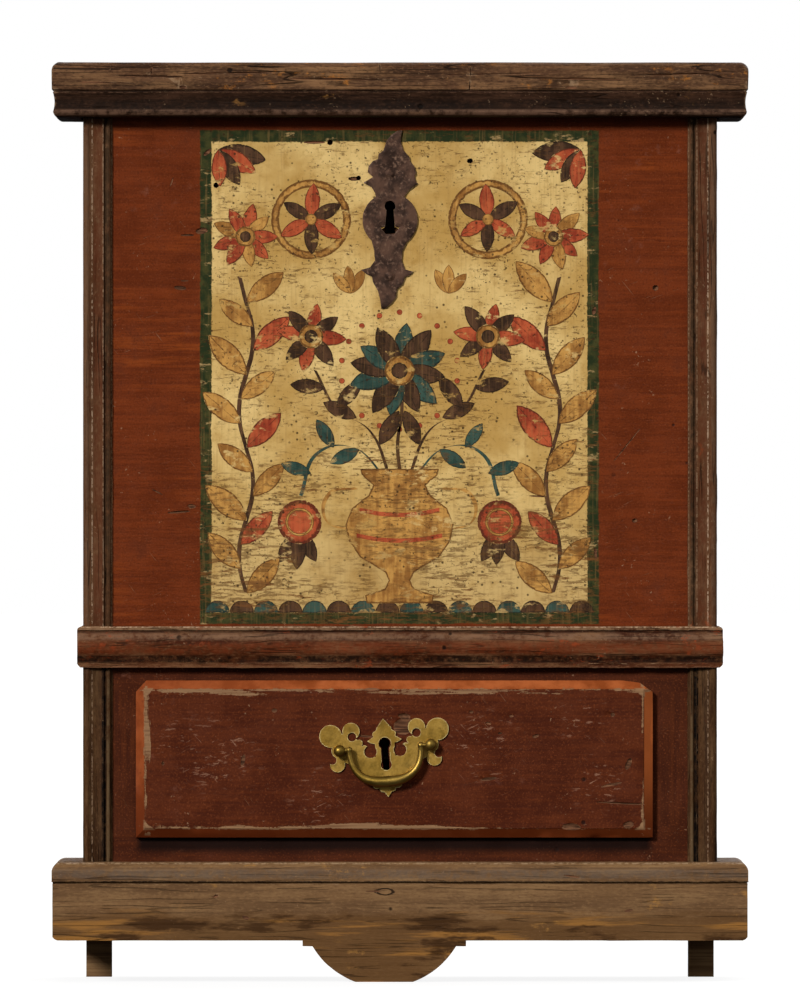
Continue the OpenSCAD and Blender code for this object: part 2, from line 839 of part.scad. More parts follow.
shelf_y = bolt_y + bolt_d * 0.6;
module lock_case() {
    half = lock_w / 2;
    bottom = lock_top - lock_h;
    back = front_t + lock_d;
    slot_gap = 1.4;
    color(iron) placed() difference() {
        union() {
            difference() {
                block([lock_x - half, lock_in, bottom], [lock_x + half, back, lock_top]);
                block([lock_x - half + sheet, lock_in - eps, bottom + sheet],
                    [lock_x + half - sheet, back - sheet, lock_top - sheet]);
            }
            // shelf that the bolt slides on
            block([lock_x + staple_w / 2 + 3, shelf_y, bolt_z - iron_gap - 3],
                [lock_x + half - eps, back - eps, bolt_z - iron_gap]);
        }
        // slot in the top for the staple
        block([lock_x - staple_w / 2 - slot_gap, bolt_y - staple_bar - 1 - slot_gap, lock_top - sheet - eps],
            [lock_x + staple_w / 2 + slot_gap, bolt_y + bolt_d + staple_bar + 1 + slot_gap, lock_top + eps]);
    }
}

module lock_bolt() {
    x0 = lock_x + staple_w / 2 + 2;
    tail_w = 9;
    tail_x = x0 + bolt_l - tail_w;
    tail_end = z_key - 12;
    color(iron) placed() {
        block([x0, bolt_y, bolt_z], [x0 + bolt_l, bolt_y + bolt_d, bolt_z + bolt_h]);
        // tail with the notch that the key's bit pushes
        difference() {
            block([tail_x, bolt_y, tail_end], [tail_x + tail_w, shelf_y - iron_gap, bolt_z + eps]);
            block([tail_x - eps, bolt_y - eps, z_key - 5], [tail_x + tail_w / 2, shelf_y, z_key + 5]);
        }
    }
}

// A bent leaf spring riveted inside the case that bears on the bolt's top.
module lock_spring() {
    leaf = 1.4;
    top = lock_top - sheet;
    low = bolt_z + bolt_h + iron_gap;
    x1 = lock_x + lock_w / 2 - sheet;
    color(iron) placed() run_y(bolt_y + 1, bolt_y + bolt_d - 1)
        polygon([[x1 - 6, top], [x1, top], [x1, top - leaf], [x1 - 5, top - leaf], [x1 - 22, low],
            [x1 - 24, low], [x1 - 24, low + leaf], [x1 - 22.5, low + leaf]]);
}

module lid_staple() {
    reach = bolt_d / 2 + staple_gap + staple_bar;
    y0 = staple_mid_y - reach;
    y1 = staple_mid_y + reach;
    z0 = bolt_z - staple_gap - staple_bar;
    color(iron) placed() difference() {
        union() {
            block([lock_x - staple_plate_w / 2, y0 - 1, z_rim - staple_plate],
                [lock_x + staple_plate_w / 2, y1 + 1, z_rim]);
            block([lock_x - staple_w / 2, y0, z0], [lock_x + staple_w / 2, y1, z_rim - eps]);
        }
        block([lock_x - staple_w, y0 + staple_bar, z0 + staple_bar],
            [lock_x + staple_w, y1 - staple_bar, z_rim - staple_plate]);
        lid_nail_set();
    }
}

// Drawer: lipped and bevelled front, half-blind dovetails in front and through dovetails behind

z_lip_top = z_lip + drawer_front_h;
tail_h = box_h;
bottom_z = box_z + drawer_bottom_up;

module drawer_tail_row(length) {
    tail_row(drawer_tails, tail_h, length, drawer_t);
}

module drawer_front() {
    half = drawer_w / 2;
    land = lip_t - bevel_d;
    lip_back = -wood_gap;
    color(red_paint) placed() difference() {
        union() {
            // the lip with its bevelled edge: two crossed runs give the four bevels their mitres
            translate([drawer_x, 0, 0]) intersection() {
                run_y(-lip_t, lip_back) translate([-half, z_lip]) square([drawer_w, drawer_front_h]);
                run_x(-half, half) polygon([[lip_back, z_lip], [-land, z_lip], [-lip_t, z_lip + bevel_w],
                    [-lip_t, z_lip_top - bevel_w], [-land, z_lip_top], [lip_back, z_lip_top]]);
                translate([0, 0, z_lip]) linear_extrude(drawer_front_h)
                    polygon([[-half, lip_back], [-half, -land], [-half + bevel_w, -lip_t],
                        [half - bevel_w, -lip_t], [half, -land], [half, lip_back]]);
            }
            block([drawer_x - box_w / 2, -land, box_z], [drawer_x + box_w / 2, tongue_t, box_z + box_h]);
        }
        for (hand = [-1, 1])
            translate([drawer_x, 0, 0]) mirror([hand < 0 ? 1 : 0, 0, 0])
                translate([box_w / 2 - drawer_t, tongue_t, box_z]) drawer_tail_row(half_blind);
        // groove for the drawer bottom
        block([drawer_x - box_w / 2 + drawer_t - groove, tongue_t - groove, bottom_z],
            [drawer_x + box_w / 2 - drawer_t + groove, tongue_t + eps, bottom_z + drawer_bottom_t]);
        translate([pull_x, 0, pull_z]) rotate([0, -pull_tilt, 0]) {
            translate([0, 0, pull_key_up]) run_y(-lip_t - eps, tongue_t + eps) keyhole_outline(keyhole_neck);
            for (x = [-1, 1])
                translate([x * pull_spacing / 2, -lip_t - eps, 0]) rotate([-90, 0, 0])
                    cylinder(r = shank_r + iron_gap / 2, h = lip_t + tongue_t + 2 * eps);
        }
    }
}

module drawer_side(hand) {
    x0 = box_w / 2 - drawer_t;
    color(bare_wood) placed() translate([drawer_x, 0, 0]) mirror([hand < 0 ? 1 : 0, 0, 0]) difference() {
        union() {
            block([x0, tongue_t, box_z], [x0 + drawer_t, box_back - drawer_t, box_z + box_h]);
            translate([x0, tongue_t, box_z]) drawer_tail_row(half_blind);
            translate([x0, box_back - drawer_t, box_z]) mirror([0, 1, 0]) drawer_tail_row(drawer_t);
        }
        block([x0 - eps, tongue_t - half_blind - eps, bottom_z],
            [x0 + groove, box_back + eps, bottom_z + drawer_bottom_t]);
    }
}
module drawer_side_left() {
    drawer_side(-1);
}
module drawer_side_right() {
    drawer_side(1);
}

module drawer_back() {
    color(bare_wood) placed() translate([drawer_x, 0, 0]) difference() {
        block([-box_w / 2, box_back - drawer_t, bottom_z + drawer_bottom_t],
            [box_w / 2, box_back, box_z + box_h]);
        for (hand = [0, 1])
            mirror([hand, 0, 0]) translate([box_w / 2 - drawer_t, box_back - drawer_t, box_z])
                mirror([0, 1, 0]) drawer_tail_row(drawer_t);
    }
}

module drawer_bottom() {
    half = box_w / 2 - drawer_t + groove;
    color(bare_wood) placed() translate([drawer_x, 0, 0])
        block([-half, tongue_t - groove, bottom_z], [half, box_back, bottom_z + drawer_bottom_t]);
}

// Pull: a pierced bat-wing plate, two ball-headed posts with nuts, and a swelled bail

// Puts a piece drawn about the middle between the posts onto the drawer front.
module at_pull() {
    placed() translate([pull_x, 0, pull_z]) rotate([0, -pull_tilt, 0]) children();
}

// The plate's pattern is drawn for posts 64 apart and scaled to the real spacing.
module half_plate_outline() {
    post = 32;
    difference() {
        union() {
            translate([post + 5.5, 10.5]) circle(7.9);
            translate([post - 9, 13]) circle(6);
            translate([post, 0]) circle(5.6);
            translate([post + 2, -9.8]) circle(5.2);
            polygon([[post + 6, 4], [post - 2, 12], [post - 10, 9], [post - 14.5, 5.5], [post - 15.5, 2.5],
                [post - 18.5, 1.5], [post - 19, -7], [post - 11, -12], [post, -7]]);
            // scallops along the upper edge
            for (spot = [[post - 14.2, 4.4], [post - 17.6, 0.2]])
                translate(spot) circle(2.4);
        }
        translate([post - 9.4, 9]) circle(3.05);
        translate([post + 5.4, -6.4]) circle(2.9);
    }
}

module plate_outline() {
    field_r = 23.4;
    scale(plate_unit) difference() {
        union() {
            for (hand = [0, 1])
                mirror([hand, 0]) half_plate_outline();
            // field below the openings
            intersection() {
                translate([0, -1.6]) circle(field_r);
                translate([-field_r, -26]) square([2 * field_r, 20]);
            }
            // keyhole panel, its two ears and the stepped finial above it
            translate([-6.8, -8]) square([13.6, 16]);
            polygon([[-6.8, 3], [6.8, 3], [9.4, 3.6], [12.2, 5.2], [9.6, 6.8], [7.8, 8], [7, 11], [4.2, 14],
                [3.8, 15.8], [0, 20.4], [-3.8, 15.8], [-4.2, 14], [-7, 11], [-7.8, 8], [-9.6, 6.8],
                [-12.2, 5.2], [-9.4, 3.6]]);
            for (x = [-1, 1]) {
                translate([x * 6, 9.6]) circle(2.2);
                translate([x * 3.4, 13.4]) circle(1.8);
                translate([x * 7.4, -25.6]) circle(3);
                translate([x * 3.2, -28.4]) circle(2.6);
            }
            // tail finial
            polygon([[0, -34.6], [3, -30.6], [9, -23], [-9, -23], [-3, -30.6]]);
        }
        // rounded feet of the openings each side of the keyhole panel
        for (x = [-1, 1])
            translate([x * 10.4, -2.2]) circle(4.4);
        translate([0, 2.8]) circle(4.4);
        translate([-3, -12]) square([6, 14]);
        translate([0, -12]) circle(3.8);
    }
}

module pull_plate() {
    color(brass) at_pull() translate([0, plate_y, 0]) difference() {
        run_y(0, plate_t) plate_outline();
        for (x = [-1, 1])
            translate([x * pull_spacing / 2, -eps, 0]) rotate([-90, 0, 0])
                cylinder(r = shank_r + iron_gap / 2, h = plate_t + 2 * eps);
    }
}

nut_h = 3.5;
shank_end = tongue_t + nut_h + 1;
module post_profile() {
    collar_r = ball_r * 0.7;
    intersection() {
        circle(ball_r);
        translate([0, -ball_r]) square([ball_r, 2 * ball_r]);
    }
    square([collar_r, ball_out]);
    square([shank_r, shank_end - ball_y]);
}
module pull_posts() {
    color(brass) at_pull() for (x = [-1, 1]) translate([x * pull_spacing / 2, ball_y, 0]) difference() {
        rotate([-90, 45, 0]) rotate_extrude() post_profile();
        // cross hole for the bail's pivot
        translate([-ball_r - eps, 0, 0]) rotate([0, 90, 0])
            cylinder(r = pivot_r + pin_gap, h = 2 * (ball_r + eps));
    }
}

module pull_nuts() {
    nut_r = 5.4;
    color(brass) at_pull() for (x = [-1, 1])
        translate([x * pull_spacing / 2, tongue_t, 0]) rotate([-90, 0, 0]) difference() {
            cylinder(r = nut_r, h = nut_h, $fn = 4);
            translate([0, 0, -eps]) cylinder(r = shank_r, h = nut_h + 2 * eps);
        }
}

// The bail is swept along a squared-off half ellipse, thin at its ends and swelled in the middle.
bail_rings = 33;
bail_sides = 14;
bail_square = 2.5;
bail_swell = 3.5;
pivot_l = ball_r + bail_eye_r + 1;
function signed_pow(v, p) = (v < 0 ? -1 : 1) * pow(abs(v), p);
function bail_angle(i) = 180 + 180 * i / (bail_rings - 1);
function bail_point(i) = [bail_a * signed_pow(cos(bail_angle(i)), 2 / bail_square),
    bail_drop * signed_pow(sin(bail_angle(i)), 2 / bail_square)];
function bail_step(i) = bail_point(min(i + 1, bail_rings - 1)) - bail_point(max(i - 1, 0));
function bail_tangent(i) = i == 0 ? [0, -1] : i == bail_rings - 1 ? [0, 1]
    : bail_step(i) / norm(bail_step(i));
function bail_radius(i) = bail_end_r + (bail_mid_r - bail_end_r) * pow(abs(sin(bail_angle(i))), bail_swell);
function bail_ring(i) = let (p = bail_point(i), t = bail_tangent(i), r = bail_radius(i))
    [for (k = [0 : bail_sides - 1]) let (a = 360 * k / bail_sides)
        [p[0] + r * cos(a) * t[1], r * sin(a), p[1] - r * cos(a) * t[0]]];

module bail_loop() {
    points = [for (i = [0 : bail_rings - 1]) each bail_ring(i)];
    last = (bail_rings - 1) * bail_sides;
    skin = [for (i = [0 : bail_rings - 2], k = [0 : bail_sides - 1])
        let (a = i * bail_sides + k, b = i * bail_sides + (k + 1) % bail_sides)
        each [[a, a + bail_sides, b], [b, a + bail_sides, b + bail_sides]]];
    caps = [for (k = [1 : bail_sides - 2]) each [[0, k, k + 1], [last, last + k + 1, last + k]]];
    polyhedron(points, concat(skin, caps));
}

module pull_bail() {
    color(brass) at_pull() translate([0, ball_y, 0]) {
        bail_loop();
        for (x = [-1, 1]) {
            translate([x * bail_a, 0, 0]) sphere(bail_eye_r, $fn = 32);
            translate([x > 0 ? bail_a : -bail_a - pivot_l, 0, 0]) rotate([0, 90, 0])
                cylinder(r = pivot_r, h = pivot_l);
        }
    }
}

// Drawer lock on the inside of the drawer front, with a bolt that rises into the rail

dbolt_w = 16;
dbolt_t = 4;
dbolt_h = 22;
dbolt_y = tongue_t + 1 + iron_gap;
dlock_top = box_z + box_h - 0.5;
dlock_h = 46;

module drawer_lock_case() {
    wall = sheet * 0.8;
    half = dlock_w / 2;
    gap = iron_gap;
    color(iron) placed() difference() {
        block([pull_x - half, tongue_t, dlock_top - dlock_h], [pull_x + half, tongue_t + dlock_d, dlock_top]);
        block([pull_x - half + wall, tongue_t + 1, dlock_top - dlock_h + wall],
            [pull_x + half - wall, tongue_t + dlock_d - wall, dlock_top - dbolt_h - gap - 2]);
        // channel that guides the bolt up through the top
        block([pull_x - dbolt_w / 2 - gap, dbolt_y - gap, dlock_top - dbolt_h - gap],
            [pull_x + dbolt_w / 2 + gap, dbolt_y + dbolt_t + gap, dlock_top + eps]);
        translate([pull_x, 0, pull_z]) rotate([0, -pull_tilt, 0]) translate([0, 0, pull_key_up])
            run_y(tongue_t - eps, tongue_t + 1 + eps) keyhole_outline(keyhole_neck);
    }
}

module drawer_lock_bolt() {
    color(iron) placed() block([pull_x - dbolt_w / 2, dbolt_y, dlock_top - dbolt_h],
        [pull_x + dbolt_w / 2, dbolt_y + dbolt_t, dlock_top]);
}

// The nodes

side_left();
side_right();
front_board();
back_board_upper();
back_board_lower();
chest_floor();
case_bottom();
rail_upper();
rail_lower();
stile_left();
stile_right();
drawer_guide_left();
drawer_guide_right();
drawer_kicker_left();
drawer_kicker_right();
corner_moulding_upper_left();
corner_moulding_upper_right();
corner_moulding_lower_left();
corner_moulding_lower_right();
waist_moulding_front();
waist_moulding_left();
waist_moulding_right();
base_front();
base_left();
base_right();
rear_foot_left();
rear_foot_right();
key_plate();
key_plate_nails();
lock_plate();
lock_case();
lock_spring();
lock_nails();
lock_bolt();
hinge_leaf_left();
hinge_leaf_right();
hinge_pins();
hinge_leaf_nails();
back_nails();
lid_board();
lid_moulding_front();
lid_moulding_left();
lid_moulding_right();
hinge_strap_left();
hinge_strap_right();
lid_nails();
lid_staple();
drawer_front();
drawer_side_left();
drawer_side_right();
drawer_back();
drawer_bottom();
pull_plate();
pull_posts();
pull_nuts();
pull_bail();
drawer_lock_case();
drawer_lock_bolt();
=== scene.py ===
# %% [markdown]
# # A small painted chest with a drawer
# The chest is about two hundred years of use in one object: red paint rubbed thin, dark stained mouldings worn
# to gold on their edges, a painted panel full of fine cracks, and iron and brass gone dull. The CAD model gives
# every piece its true size and place. This lesson keeps that frame and gives each piece its age.

# %% Load the frame
import json
import math
import random

import bpy
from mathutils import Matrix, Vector


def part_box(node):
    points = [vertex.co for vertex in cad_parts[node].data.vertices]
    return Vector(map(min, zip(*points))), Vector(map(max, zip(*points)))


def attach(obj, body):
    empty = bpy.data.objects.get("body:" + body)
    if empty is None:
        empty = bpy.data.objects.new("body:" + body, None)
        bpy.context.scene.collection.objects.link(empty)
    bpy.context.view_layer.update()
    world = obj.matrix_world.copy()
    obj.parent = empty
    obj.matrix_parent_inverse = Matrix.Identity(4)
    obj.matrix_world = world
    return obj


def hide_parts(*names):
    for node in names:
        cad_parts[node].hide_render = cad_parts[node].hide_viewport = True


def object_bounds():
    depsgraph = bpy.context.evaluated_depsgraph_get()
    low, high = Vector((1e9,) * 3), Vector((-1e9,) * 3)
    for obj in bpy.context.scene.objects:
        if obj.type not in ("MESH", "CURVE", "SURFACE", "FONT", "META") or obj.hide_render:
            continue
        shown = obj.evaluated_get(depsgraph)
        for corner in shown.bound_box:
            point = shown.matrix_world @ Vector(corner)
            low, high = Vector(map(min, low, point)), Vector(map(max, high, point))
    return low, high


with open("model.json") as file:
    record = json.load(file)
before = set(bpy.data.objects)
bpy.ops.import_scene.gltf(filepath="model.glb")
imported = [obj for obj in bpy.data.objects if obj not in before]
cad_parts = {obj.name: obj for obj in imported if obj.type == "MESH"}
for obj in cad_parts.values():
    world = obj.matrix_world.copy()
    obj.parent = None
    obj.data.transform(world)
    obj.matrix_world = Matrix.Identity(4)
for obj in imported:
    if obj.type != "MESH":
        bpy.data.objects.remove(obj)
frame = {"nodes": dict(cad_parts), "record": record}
cad_low, cad_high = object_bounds()
MM = 0.001
body_of_node = {n: body for body, names in frame["record"]["behaviour"]["bodies"].items() for n in names}
print("frame of", len(frame["nodes"]), "nodes, box", [round(v, 4) for v in (cad_high - cad_low)])

# %% [markdown]
# ## Camera
# The photograph looks straight at the front from about the middle of its height, and shows no undersides or top
# faces at the ends of the lid and base. So it was taken from far off with a long lens. One pixel is 0.7 mm at the
# front, the camera stands 25 m away, and its lens follows from the frame's height of 1000 pixels. No lens shift is
# needed, because the picture's middle lies on the line of sight.

# %% Camera
PX = 0.7 * MM
VIEW_DISTANCE = 25
FRAME_HEIGHT = 1000 * PX
SENSOR = 36.0
FLOOR_ROW, MIDDLE_ROW = 982, 500
eye_z = (FLOOR_ROW - MIDDLE_ROW) * PX


def deselect():
    bpy.ops.object.select_all(action="DESELECT")


deselect()
bpy.ops.object.camera_add(location=(0, cad_low.y - VIEW_DISTANCE, eye_z), rotation=(math.radians(90), 0, 0))
camera = bpy.context.object
camera.data.sensor_width = SENSOR
camera.data.lens = SENSOR * VIEW_DISTANCE / FRAME_HEIGHT
camera.data.clip_end = 200
bpy.context.scene.camera = camera
print("lens", round(camera.data.lens, 1), "mm, eye at", round(eye_z, 3), "m")

# %% [markdown]
# ## Node helper
# A finish is a stack of simple coats: a colour, a noise that decides where the next colour shows, and so on. Two
# small classes add one node per call and return its socket, so that each finish below reads like a recipe. All
# patterns read Object coordinates in metres, so a noise scale of 100 makes marks of about 10 mm.

# %% Node helper
def tone(code):
    """A hex colour as seen on screen, as the linear values that a shader wants."""
    parts = [int(code[i:i + 2], 16) / 255 for i in (1, 3, 5)]
    return [c / 12.92 if c <= 0.04045 else ((c + 0.055) / 1.055) ** 2.4 for c in parts] + [1.0]


class Nodes:
    def __init__(self, tree):
        self.nodes, self.links = tree.nodes, tree.links

    def fill(self, node, values):
        """Links a socket, turns a hex code into a tone, and sets any other value as it is."""
        for key, value in values.items():
            if isinstance(value, bpy.types.NodeSocket):
                self.links.new(value, node.inputs[key])
            else:
                node.inputs[key].default_value = tone(value) if isinstance(value, str) else value

    def add(self, kind, values=None, **settings):
        node = self.nodes.new(kind)
        for key, value in settings.items():
            setattr(node, key, value)
        self.fill(node, values or {})
        return node

    def math(self, operation, a, b=0.0):
        return self.add("ShaderNodeMath", {0: a, 1: b}, operation=operation).outputs[0]

    def times(self, a, b):
        return self.math("MULTIPLY", a, b)

    def plus(self, a, b):
        return self.math("ADD", a, b)

    def most(self, a, b):
        return self.math("MAXIMUM", a, b)

    def apart(self, value, middle):
        return self.math("ABSOLUTE", self.plus(value, -middle))

    def blend(self, a, share, b, other_share):
        return self.plus(self.times(a, share), self.times(b, other_share))

    def swing(self, value, reach, middle=0.5):
        """A value from 0 to 1 as a distance, which is 0 where the value is at its middle."""
        return self.times(self.plus(value, -middle), reach)

    def mix(self, amount, a, b):
        return self.add("ShaderNodeMix", {0: amount, 6: a, 7: b}, data_type="RGBA").outputs[2]

    def band(self, value, low, high, top=1.0):
        """0 below low, top above high, with a soft step between; low above high turns it round."""
        values = {"Value": value, "From Min": low, "From Max": high, "To Max": top}
        return self.add("ShaderNodeMapRange", values, interpolation_type="SMOOTHSTEP").outputs[0]


class Finish(Nodes):
    def __init__(self, name, roughness=0.6, metallic=0.0, specular=0.3):
        self.material = bpy.data.materials.new(name)
        self.material.use_nodes = True
        super().__init__(self.material.node_tree)
        self.shader = self.nodes["Principled BSDF"]
        self.fill(self.shader, {"Roughness": roughness, "Metallic": metallic, "Specular IOR Level": specular})
        self.place = self.add("ShaderNodeTexCoord").outputs["Object"]
        self.x, self.y, self.z = self.add("ShaderNodeSeparateXYZ", {0: self.place}).outputs

    def coat(self, amount, colour):
        """Lays a colour over the finish so far, as thickly as amount says."""
        self.colour = self.mix(amount, self.colour, colour)

    def away(self, x, z, half_x=1.0, half_z=1.0):
        """Distance from a spot of the front in mm, or in shares of half sizes in mm."""
        across = self.times(self.plus(self.x, -x * MM), 1 / (half_x * MM))
        up = self.times(self.plus(self.z, -z * MM), 1 / (half_z * MM))
        return self.math("SQRT", self.plus(self.times(across, across), self.times(up, up)))

    def at(self, scale, shift=0.0, turn=0.0):
        """Object coordinates, scaled; with a turn about Y in radians, drawn-out marks slant by that much."""
        scale = (scale,) * 3 if isinstance(scale, (int, float)) else scale
        kind = "POINT"
        if turn:
            kind, scale = "TEXTURE", tuple(1 / s for s in scale)
        values = {"Vector": self.place, "Location": (shift,) * 3, "Rotation": (0, turn, 0), "Scale": scale}
        return self.add("ShaderNodeMapping", values, vector_type=kind).outputs[0]

    def noise(self, scale, detail=3.0, roughness=0.55, shift=0.0, bend=0.0, turn=0.0):
        values = {"Vector": self.at(scale, shift, turn), "Scale": 1.0, "Detail": detail,
                  "Roughness": roughness, "Distortion": bend}
        return self.add("ShaderNodeTexNoise", values).outputs["Fac"]

    def cells(self, scale, feature="F1", shift=0.0):
        node = self.add("ShaderNodeTexVoronoi", {"Vector": self.at(scale, shift), "Scale": 1.0}, feature=feature)
        return node.outputs["Distance"]

    def grain(self, along, run, across, **more):
        """Noise drawn out along one axis, as the fibres of a board are."""
        scale = [across] * 3
        scale["xyz".index(along)] = run
        return self.noise(tuple(scale), **more)

    def worn(self):
        """The piece's own record of where its edges are, 1 on an arris and 0 away from it."""
        return self.add("ShaderNodeAttribute", attribute_name="worn").outputs["Fac"]

    def relief(self, height, depth):
        return self.add("ShaderNodeBump", {"Height": height, "Strength": 1.0, "Distance": depth}).outputs[0]

    def done(self, colour, roughness=None, normal=None):
        self.fill(self.shader, {"Base Color": colour})
        if roughness:
            self.fill(self.shader, {"Roughness": roughness})
        if normal:
            self.fill(self.shader, {"Normal": normal})
        return self.material


print("node helper ready")

# %% [markdown]
# ## Old bare wood
# Inside, underneath and behind, the chest is unpainted softwood gone brown with age. Each board gets its grain
# along its own length. Two noises drawn out along one axis make the fibres and the darker growth lines.

# %% Old bare wood
def bare_layers(f, along):
    fibre = f.grain(along, 14, 620, detail=6, roughness=0.7)
    ring = f.grain(along, 2.4, 130, detail=5, roughness=0.62, bend=0.25, shift=4.0)
    stain = f.noise(9, detail=6, roughness=0.62, shift=2.0)
    f.colour = f.mix(f.band(ring, 0.42, 0.6), "#8a6a45", "#6b4c2e")
    f.coat(f.band(fibre, 0.48, 0.66, 0.7), "#4c3420")
    f.coat(f.band(stain, 0.48, 0.7, 0.6), "#4f3b29")
    worm = f.times(f.band(f.cells(75, "F1", 9.0), 0.09, 0.05),
                   f.band(f.noise(11, detail=2, shift=6.0), 0.56, 0.62))
    f.coat(f.times(worm, 0.9), "#1d120a")
    return f.colour, fibre


def bare_wood(along):
    f = Finish("bare_wood_" + along, roughness=0.75, specular=0.2)
    colour, fibre = bare_layers(f, along)
    return f.done(colour, normal=f.relief(fibre, 0.3 * MM))


bare = {along: bare_wood(along) for along in "xy"}
print("bare wood along", list(bare))

# %% [markdown]
# ## Brick-red paint
# The boards were painted a brick red that has gone brown and thin. It could be one flat colour with bump, but the
# eye reads its age in layers: long streaks along the grain, orange where the paint is thin, dull brown where it is
# greasy, pale scuffs, fine scratches that cross the grain, and small dark pits. Each layer is one noise or cell
# pattern and a soft step.

# %% Brick-red paint
def hairlines(f, scale, width, shift, where):
    """Thin wandering lines: the contour of a drawn-out noise, shown only in patches. 1 on a line."""
    wave = f.noise(scale, detail=1.0, shift=shift)
    line = f.band(f.apart(wave, 0.5), width, width * 0.35)
    return f.times(line, f.band(f.noise(23, detail=3, shift=shift + 3.0), *where))


def scratches(f, turn, shift, where):
    """Short straight scores in patches: a noise drawn out along a slanted line, where it is high. 1 on a score."""
    score = f.band(f.noise((46, 46, 620), detail=5, roughness=0.62, shift=shift, turn=turn), 0.64, 0.7)
    return f.times(score, f.band(f.noise(23, detail=3, shift=shift + 3.0), *where))


def pits(f, scale, size, shift):
    """Scattered small holes; 1 inside a hole."""
    hole = f.band(f.cells(scale, "F1", shift), size, size * 0.6)
    here = f.band(f.noise(scale * 0.23, detail=2, shift=shift + 8.0), 0.57, 0.62)
    return f.times(hole, here)


def red_layers(f, along, deep="#5b240a", warm="#6e2e0f", thin="#8e4213", scored=0.4):
    streak = f.grain(along, 16, 300, detail=6, roughness=0.66)
    cloud = f.noise(11, detail=5, shift=1.0)
    dull = f.noise(38, detail=6, roughness=0.66, shift=7.0)
    f.colour = f.mix(f.band(f.blend(streak, 0.5, dull, 0.5), 0.4, 0.6), deep, warm)
    f.coat(f.times(f.band(cloud, 0.52, 0.72, 0.7), f.band(streak, 0.45, 0.65)), thin)
    f.coat(f.band(dull, 0.52, 0.7, 0.5), "#4a2112")
    scuff = f.times(f.band(f.noise(80, detail=7, roughness=0.68, shift=5.0), 0.56, 0.7),
                    f.band(f.noise(15, detail=3, shift=9.0), 0.54, 0.66, 0.5))
    f.coat(scuff, "#84533f")
    lines = f.most(scratches(f, 0.9, 2.0, (0.54, 0.64)), scratches(f, -0.35, 6.0, (0.54, 0.64)))
    f.coat(f.times(lines, scored), "#9a7052")
    fleck = f.times(f.band(f.noise(430, detail=3, roughness=0.6, shift=4.0), 0.65, 0.71),
                    f.band(f.noise(45, detail=3, shift=14.0), 0.53, 0.62, 0.6))
    f.coat(fleck, "#a07a5c")
    grit = f.noise(760, detail=2, shift=16.0)
    f.coat(f.band(grit, 0.54, 0.72, 0.4), "#7c4020")
    f.coat(f.band(grit, 0.46, 0.3, 0.35), "#351408")
    holes = pits(f, 60, 0.11, 3.0)
    f.coat(f.times(holes, 0.85), "#1d0c06")
    height = f.blend(streak, 0.6, f.most(lines, holes), -0.7)
    return f.colour, height, f.plus(f.band(dull, 0.35, 0.7, 0.2), 0.42)


drawer_low, drawer_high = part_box("drawer_front")
drawer_mid, drawer_half = (drawer_low + drawer_high) / 2, (drawer_high - drawer_low) / 2
PAINT_FROM, PAINT_TO, PAINT_RELIEF = 1.2 * MM, 0.6 * MM, 0.25 * MM


def painted(f, value, face, outward):
    """1 on the outer face of a board, where the paint lies, and 0 from 1.2 mm behind it."""
    return f.band(value, face - outward * PAINT_FROM, face - outward * PAINT_TO)


def red_board(name, along, axis, face, outward, shadow_under_lip=False, **tones):
    """Red paint on the side of a board that shows, and bare wood on the rest of it."""
    f = Finish(name, specular=0.06)
    paint, height, shine = red_layers(f, along, **tones)
    if shadow_under_lip:
        # painted shadow: the corner below the drawer's lip is darkened nearly to black, where the lip's shade falls
        off = f.apart(f.x, drawer_mid.x)
        lip_shadow = f.times(f.band(f.z, drawer_low.z - 14 * MM, drawer_low.z - 6 * MM, 0.92),
                       f.band(off, drawer_half.x + 3 * MM, drawer_half.x - 5 * MM))
        paint = f.mix(lip_shadow, paint, "#120603")
    wood, _ = bare_layers(f, along)
    shown = painted(f, getattr(f, axis), face, outward)
    return f.done(f.mix(shown, wood, paint), shine, f.relief(height, PAINT_RELIEF))


front_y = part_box("front_board")[0].y
side_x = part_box("side_right")[1].x
frame_tones = {"deep": "#3b1809", "warm": "#4b210c", "thin": "#5d2b10", "scored": 0.2}
red_rail = {"upper": red_board("red_paint_rail_upper", "x", "y", front_y, -1, **frame_tones),
            # the lower rail carries a painted shadow below the drawer's lip
            "lower": red_board("red_paint_rail_lower", "x", "y", front_y, -1, shadow_under_lip=True, **frame_tones)}
red_stile = red_board("red_paint_stile", "z", "y", front_y, -1, **frame_tones)
red_right = red_board("red_paint_right", "z", "x", side_x, 1)
red_left = red_board("red_paint_left", "z", "x", -side_x, -1)
print("red paint on five kinds of board")

# %% [markdown]
# ## Stained mouldings
# The lid, the mouldings and the base are stained, not painted. The stain is brown on the rounds and rubbed to
# golden wood on the edges that hands and boxes have met, and the hollows of the mouldings are painted nearly black
# as painted shade. Where the edges are is written on each piece when it is modelled, in an attribute named worn, so
# the gold follows the real arrises.

# %% Stained mouldings
NARROW = 0.3


